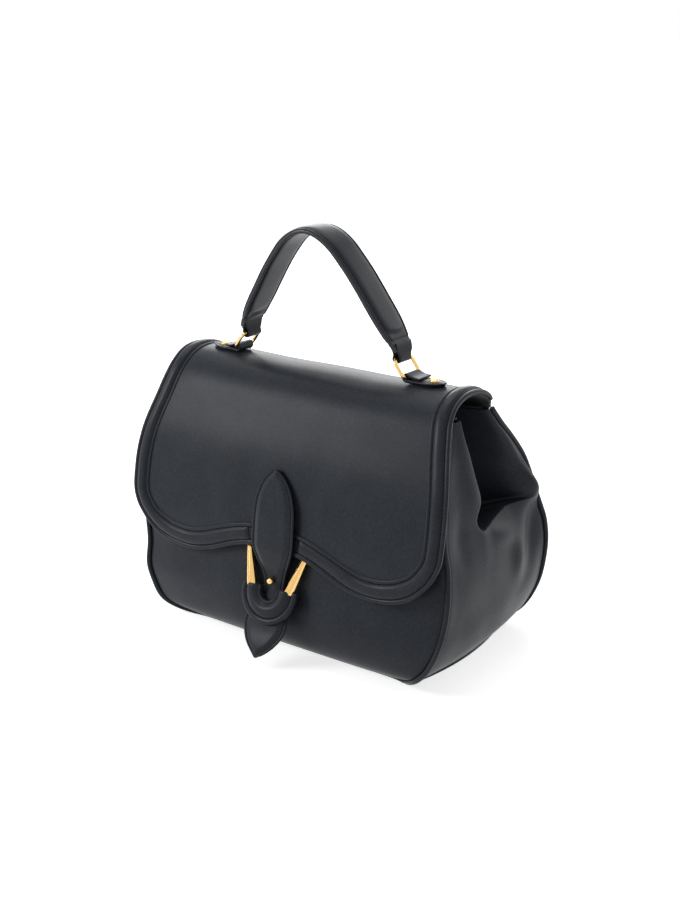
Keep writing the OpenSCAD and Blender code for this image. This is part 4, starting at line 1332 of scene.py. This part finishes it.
class BAG_OT_tabs(bpy.types.Operator):
    """Leather tabs that hold the rings, with stitches and rivets"""
    bl_idname = "bag.tabs"
    bl_label = "Ring tabs"

    def execute(self, context):
        form = FlapForm()

        def off_line(q):
            """How far the flap's form at q is from the rings' plane; its front is left out."""
            p = form.point(0, q)
            return abs(p[1] - RING_FOOT.y) + (0 if p[2] > 200 else 999)
        q_mid = min((i * 0.25 for i in range(1000)), key=off_line)
        # Upper ply: round the ring's bar and back down on to the tab
        path = in_plane((2.0, -3.0), (0.8, -3.0)) + arc(3.0, -90, -215, 24)
        path += in_plane((4.4, 1.5), (6.8, 0.75), (9.5, 0.45), (12.6, 0.35))

        def fold_half(p):
            return mix(9.3, 9.0, ease((p.x - 2) / 6) if p.z > 0 else 0)
        dome = [(0, -2.6), (2.0, -2.6), (2.0, -0.2), (3.9, -0.2), (4.0, 0.1)]
        dome += [(4.0 * cos(a), 0.25 + 2.1 * sin(a)) for a in [radians(90 * i / 9) for i in range(9)]]
        dome.append((0, 2.35))
        out = form.point(100, q_mid, 1) - form.point(100, q_mid, 0)
        runs, rivets = [], []
        for side, label in SIDES:
            def top(u, v, side=side):
                half = tab_half(v)
                a = sin(pi / 2 * (2 * u - 1))
                e = min((1 - abs(a)) * half, (1 - v) * TAB_L)
                high = 3.5 - 0.8 * (1 - min(1.0, e / 0.8)) ** 2 - 0.35 * exp(-((e - 2.3) / 0.5) ** 2)
                high += 0.35 * ease((e - 2.6) / 4)
                x = tab_x(v)
                dent = exp(-((x - RING_FOOT.x - RIVET_AT) ** 2 + (a * half) ** 2) / 30)
                return mirrored(form.point(x, q_mid + a * half, high - 0.4 * dent), side)
            tab = face_along(shaped_grid("tab_%s_leather" % label, 28, 48, top), (0, 0, 1))
            thicken(tab, 2.7, 0.3)
            loop = folded_strip("fold", path, fold_half, RING_FOOT, Vector((3, 0, -1)), side)
            ob = join("tab_%s_leather" % label, [tab, loop])
            done(ob, "trim", "flap", "leather", "chape_" + label)
            shares = [0.40 + 0.555 * i / 60 for i in range(61)]
            for edge in (1, -1):
                runs.append([form.sewn(tab_x(t), q_mid + edge * max(0.05, tab_half(t) - 2.3), 2.95, side)
                             for t in shares])
            at = mirrored(form.point(RING_FOOT.x + RIVET_AT, q_mid, 3.15), side)
            rivets.append(lathe("rivet", dome, facing(at, out)))
        done(join("tab_rivets_gold", rivets), "gold", "flap", "hardware", "chape_rivets")
        stitches("tab_stitching", runs, "flap")
        return {"FINISHED"}


class ArchForm:
    """The handle's arch from the right ring over the crown to the left one."""

    def __init__(self):
        s = sizes()
        right = [(a * RING_TOP.x, RING_TOP.z + b * mm(s.handle_h), c * mm(s.handle_w)) for a, b, c in ARCH]
        self.rows = right + [(-x, z, h) for x, z, h in reversed(right[:-1])]
        self.last = len(self.rows) - 1
        runs = [0.0]
        steps = 480
        for i in range(steps):
            a, b = cubic(self.rows, self.last * i / steps), cubic(self.rows, self.last * (i + 1) / steps)
            runs.append(runs[-1] + dist(a[:2], b[:2]))
        self.length = runs[-1]
        self.places = [(r, self.last * i / steps) for i, r in enumerate(runs)]

    def at(self, run):
        """Centre, direction out of the arch and half width, run mm along it."""
        w = lookup(run, self.places)
        x, z, half = cubic(self.rows, w)
        a, b = cubic(self.rows, w - 0.15) if w > 0.15 else cubic(self.rows, 0), cubic(self.rows, w + 0.15)
        d = Vector((b[0] - a[0], 0, b[1] - a[1])).normalized()
        # It leans forward as it rises
        lean = HANDLE_LEAN * (z - RING_TOP.z) / mm(sizes().handle_h)
        return Vector((x, RING_TOP.y + lean, z)), Vector((d.z, 0, -d.x)), half


# Half section of a handle layer: distance from the edge in mm, and height over its underside:
# painted edge, flat margin, stitch groove, pad
LAYER = (
    (0.3, 0.0), (0.05, 0.35), (0.05, 0.8), (0.4, 1.2), (1.1, 1.35), (1.7, 1.2), (2.2, 0.75),
    (2.7, 0.95), (3.4, 1.5), (4.6, 2.0), (6.5, 2.35), (10.0, 2.5),
)
# Where the handle's strap ends and its tab goes on, mm along the arch from its end
TAB_RUN = 9.0


class BAG_OT_handle(bpy.types.Operator):
    """Handle: two padded leather layers, painted edges, stitches and loops round the rings"""
    bl_idname = "bag.handle"
    bl_label = "Handle"

    def execute(self, context):
        form = ArchForm()
        count = 200
        # Half thickness of the strap's middle, and how thick the inner ply is beside the outer one
        half_t, inner = 0.95, 0.75

        def pad_at(run, y, half):
            """How padded the strap is at a place, how deep the seam across it, how much it is tab."""
            reach = min(run, form.length - run)
            tongue = TAB_RUN + 4.5 + 9.0 * (1 - sqrt(max(0.0, 1 - (y / half) ** 2)))
            seam, tab = exp(-((reach - TAB_RUN) / 0.7) ** 2), 1 - ease(reach - TAB_RUN + 1)
            return ease((reach - tongue) / 3.5), seam, tab

        # The whole section: near edge, middle, then the far edge, marked by distances under -10
        section = list(LAYER) + [(-1.0, 2.55)] + [(-(e + 10), h) for e, h in reversed(LAYER)]

        ply_shade = ((1, "handle_outer_leather", "handle_strap", 1.0),
                 (-1, "handle_inner_leather", "handle_lining", inner))
        for sign, name, node_name, thickness in ply_shade:
            def frame_at(i, sign=sign, thickness=thickness):
                run = form.length * i / count
                c, out, half = form.at(run)
                reach = min(run, form.length - run)

                def at(e, h):
                    if e == -1.0:
                        y = 0.0
                    elif e < -1.0:
                        y = -(half - min(-e - 10, half * 0.9))
                    else:
                        y = half - min(e, half * 0.9)
                    pad, seam, tab = pad_at(run, y, half)
                    high = h if h < 1.36 else 1.35 + (h - 1.35) * pad
                    if h > 0.7:
                        high = mix(high, 1.0, tab) - 0.9 * seam
                        high += 0.22 * noise.noise(Vector((run / 24, y / 14, sign * 3))) * pad
                        if sign < 0 and run > form.length / 2:
                            # The inside leather puckers above the left tab
                            high -= 2.0 * bump((reach - 15 - 0.45 * y) / 2.2, (y + 2) / 11)
                    return c + Vector((0, y, 0)) + out * sign * (half_t + high * thickness)
                return at
            ob = swept(name, [frame_at(i) for i in range(count + 1)], section)
            done(ob, "trim", "handle", "leather", node_name)

        def core_at(i):
            run = form.length * i / count
            c, out, half = form.at(run)
            return lambda e, h: c + Vector((0, copysign(max(0.5, half - abs(e)), e), 0)) + out * h
        core = [(0.35, -half_t), (0.1, -0.5), (0.05, 0.0), (0.1, 0.5), (0.35, half_t)]
        core += [(-e, h) for e, h in reversed(core)]
        ob = swept("handle_edges_painted", [core_at(i) for i in range(count + 1)], core)
        done(ob, "edge", "handle", "leather", "handle_filler")

        runs = []
        spots = [form.at(mix(TAB_RUN + 1.5, form.length - TAB_RUN - 1.5, i / 240)) for i in range(241)]
        for sign, high in ((1, half_t + 0.8), (-1, half_t + 0.8 * inner)):
            for side in (1, -1):
                runs.append([(c + Vector((0, side * (half - 2.2), 0)) + out * sign * high, out * sign)
                             for c, out, half in spots])
        stitches("handle_stitching", runs, "handle")

        path = in_plane((0.6, 13.0), (1.6, 9.5), (2.6, 6.0), (3.1, 2.8)) + arc(3.3, 0, -180, 18)
        path += in_plane((-2.7, 2.8), (-1.6, 5.6), (-1.6, 9.0), (-2.6, 12.6))

        def loop_half(p):
            return mix(8.0, 11.0, ease((p.z - 2.5) / 5))
        for side, label in SIDES:
            name = "handle_loop_%s_leather" % label
            ob = folded_strip(name, path, loop_half, RING_TOP, Vector((1, 0, 3)), side)
            done(ob, "trim", "handle", "leather", "handle_loop_" + label)
        return {"FINISHED"}


def seen_rays(tree):
    """1 for the rays that show the background: to the camera, in gloss and through glass."""
    ray = node(tree, "LightPath").outputs
    either = node(tree, "Math", [(0, ray["Is Camera Ray"]), (1, ray["Is Glossy Ray"])], operation="MAXIMUM")
    links = [(0, either.outputs[0]), (1, ray["Is Transmission Ray"])]
    return node(tree, "Math", links, operation="MAXIMUM").outputs[0]


# Name, kind, place, target, size in metres (a sun's angle in degrees) and power
LAMPS = (
    ("overhead_sun", "SUN", (-0.5, 0.1, 2.0), (0, 0, 0), 40, 0.4),
    ("overhead_box", "AREA", (-0.2, 0.2, 1.25), (0, 0, 0.15), (1.2, 0.8), 4),
    ("right_back_box", "AREA", (0.7, 1.8, 0.9), (0.1, 0.05, 0.12), (0.9, 0.9), 6),
    ("left_back_box", "AREA", (-1.1, 1.5, 0.85), (0, 0, 0.2), (1.2, 0.9), 12),
    ("left_front_box", "AREA", (-1.1, -1.2, 0.9), (0, 0, 0.15), (0.6, 0.6), 12.5),
)
# The camera that was solved from the photo: place in metres, turn in degrees, lens in mm
CAMERA_AT = (0.66922, -0.90559, 0.52769)
CAMERA_TURN = (71.97, 0, 36.25)
CAMERA_LENS = 72.44
# The paper's own glow on the rays that show it, and the room's light on all the other rays
PAPER_GLOW = 0.75
ROOM_LIGHT = 0.20


class BAG_OT_stage(bpy.types.Operator):
    """Floor, lamps and camera"""
    bl_idname = "bag.stage"
    bl_label = "Stage"

    def execute(self, context):
        deselect()
        bpy.ops.mesh.primitive_plane_add(size=14, location=(0, 0, -0.0002))
        floor = bpy.context.object
        floor.name = "studio_floor"
        material, tree, bsdf = shader("white_paper_sweep", Base_Color=(0.86, 0.86, 0.87, 1), Roughness=0.9,
                                      Specular_IOR_Level=0.1, Emission_Color=(1, 1, 1, 1))
        glow = node(tree, "Math", [(0, seen_rays(tree))], operation="MULTIPLY")
        glow.inputs[1].default_value = PAPER_GLOW
        tree.links.new(glow.outputs[0], bsdf.inputs["Emission Strength"])
        floor.data.materials.append(material)

        world = bpy.data.worlds.new("studio")
        world.use_nodes = True
        tree = world.node_tree
        tree.nodes.clear()
        strength = spread(tree, seen_rays(tree), ROOM_LIGHT, 1.0)
        sky = node(tree, "Background", [("Strength", strength)], Color=(1, 1, 1, 1))
        node(tree, "OutputWorld", [(0, sky.outputs[0])])
        context.scene.world = world

        for name, kind, place, target, size, power in LAMPS:
            data = bpy.data.lights.new(name, kind)
            data.energy = power
            if kind == "AREA":
                data.shape = "RECTANGLE"
                data.size, data.size_y = size
            else:
                data.angle = radians(size)
            ob = placed(name, data)
            ob.location = place
            ob.rotation_euler = (Vector(target) - Vector(place)).to_track_quat("-Z", "Y").to_euler()

        data = bpy.data.cameras.new("photo_camera")
        data.sensor_fit = "HORIZONTAL"
        data.sensor_width = 36
        data.lens = CAMERA_LENS
        camera = placed("photo_camera", data)
        camera.location = CAMERA_AT
        camera.rotation_euler = [radians(a) for a in CAMERA_TURN]
        context.scene.camera = camera
        context.scene.view_settings.view_transform = "Standard"
        return {"FINISHED"}


STEPS = (
    BAG_OT_finishes, BAG_OT_panels, BAG_OT_gussets, BAG_OT_piping, BAG_OT_base, BAG_OT_mouth,
    BAG_OT_linings, BAG_OT_snap, BAG_OT_flap, BAG_OT_border, BAG_OT_strap, BAG_OT_buckle, BAG_OT_rings,
    BAG_OT_tabs, BAG_OT_handle, BAG_OT_stage,
)


class BAG_PT_sidebar(bpy.types.Panel):
    """Lists the steps of the handbag"""
    bl_idname = "BAG_PT_sidebar"
    bl_label = "Handbag"
    bl_space_type = "VIEW_3D"
    bl_region_type = "UI"
    bl_category = "Handbag"

    def draw(self, context):
        layout = self.layout
        for group in (context.scene.bag_sizes, context.scene.bag_colours):
            box = layout.box()
            for name in group.bl_rna.properties.keys():
                if name not in ("rna_type", "name"):
                    box.prop(group, name)
        for step in STEPS:
            layout.operator(step.bl_idname)


CLASSES = (BagSizes, BagColours) + STEPS + (BAG_PT_sidebar,)


def register():
    for c in CLASSES:
        bpy.utils.register_class(c)
    bpy.types.Scene.bag_sizes = bpy.props.PointerProperty(type=BagSizes)
    bpy.types.Scene.bag_colours = bpy.props.PointerProperty(type=BagColours)


def unregister():
    del bpy.types.Scene.bag_colours
    del bpy.types.Scene.bag_sizes
    for c in reversed(CLASSES):
        bpy.utils.unregister_class(c)


def main():
    register()
    bpy.ops.bag.finishes()
    bpy.ops.bag.panels()
    bpy.ops.bag.gussets()
    bpy.ops.bag.piping()
    bpy.ops.bag.base()
    bpy.ops.bag.mouth()
    bpy.ops.bag.linings()
    bpy.ops.bag.snap()
    bpy.ops.bag.flap()
    bpy.ops.bag.border()
    bpy.ops.bag.strap()
    bpy.ops.bag.buckle()
    bpy.ops.bag.rings()
    bpy.ops.bag.tabs()
    bpy.ops.bag.handle()
    bpy.ops.bag.stage()
    bpy.context.view_layer.update()


if __name__ == "__main__":
    main()
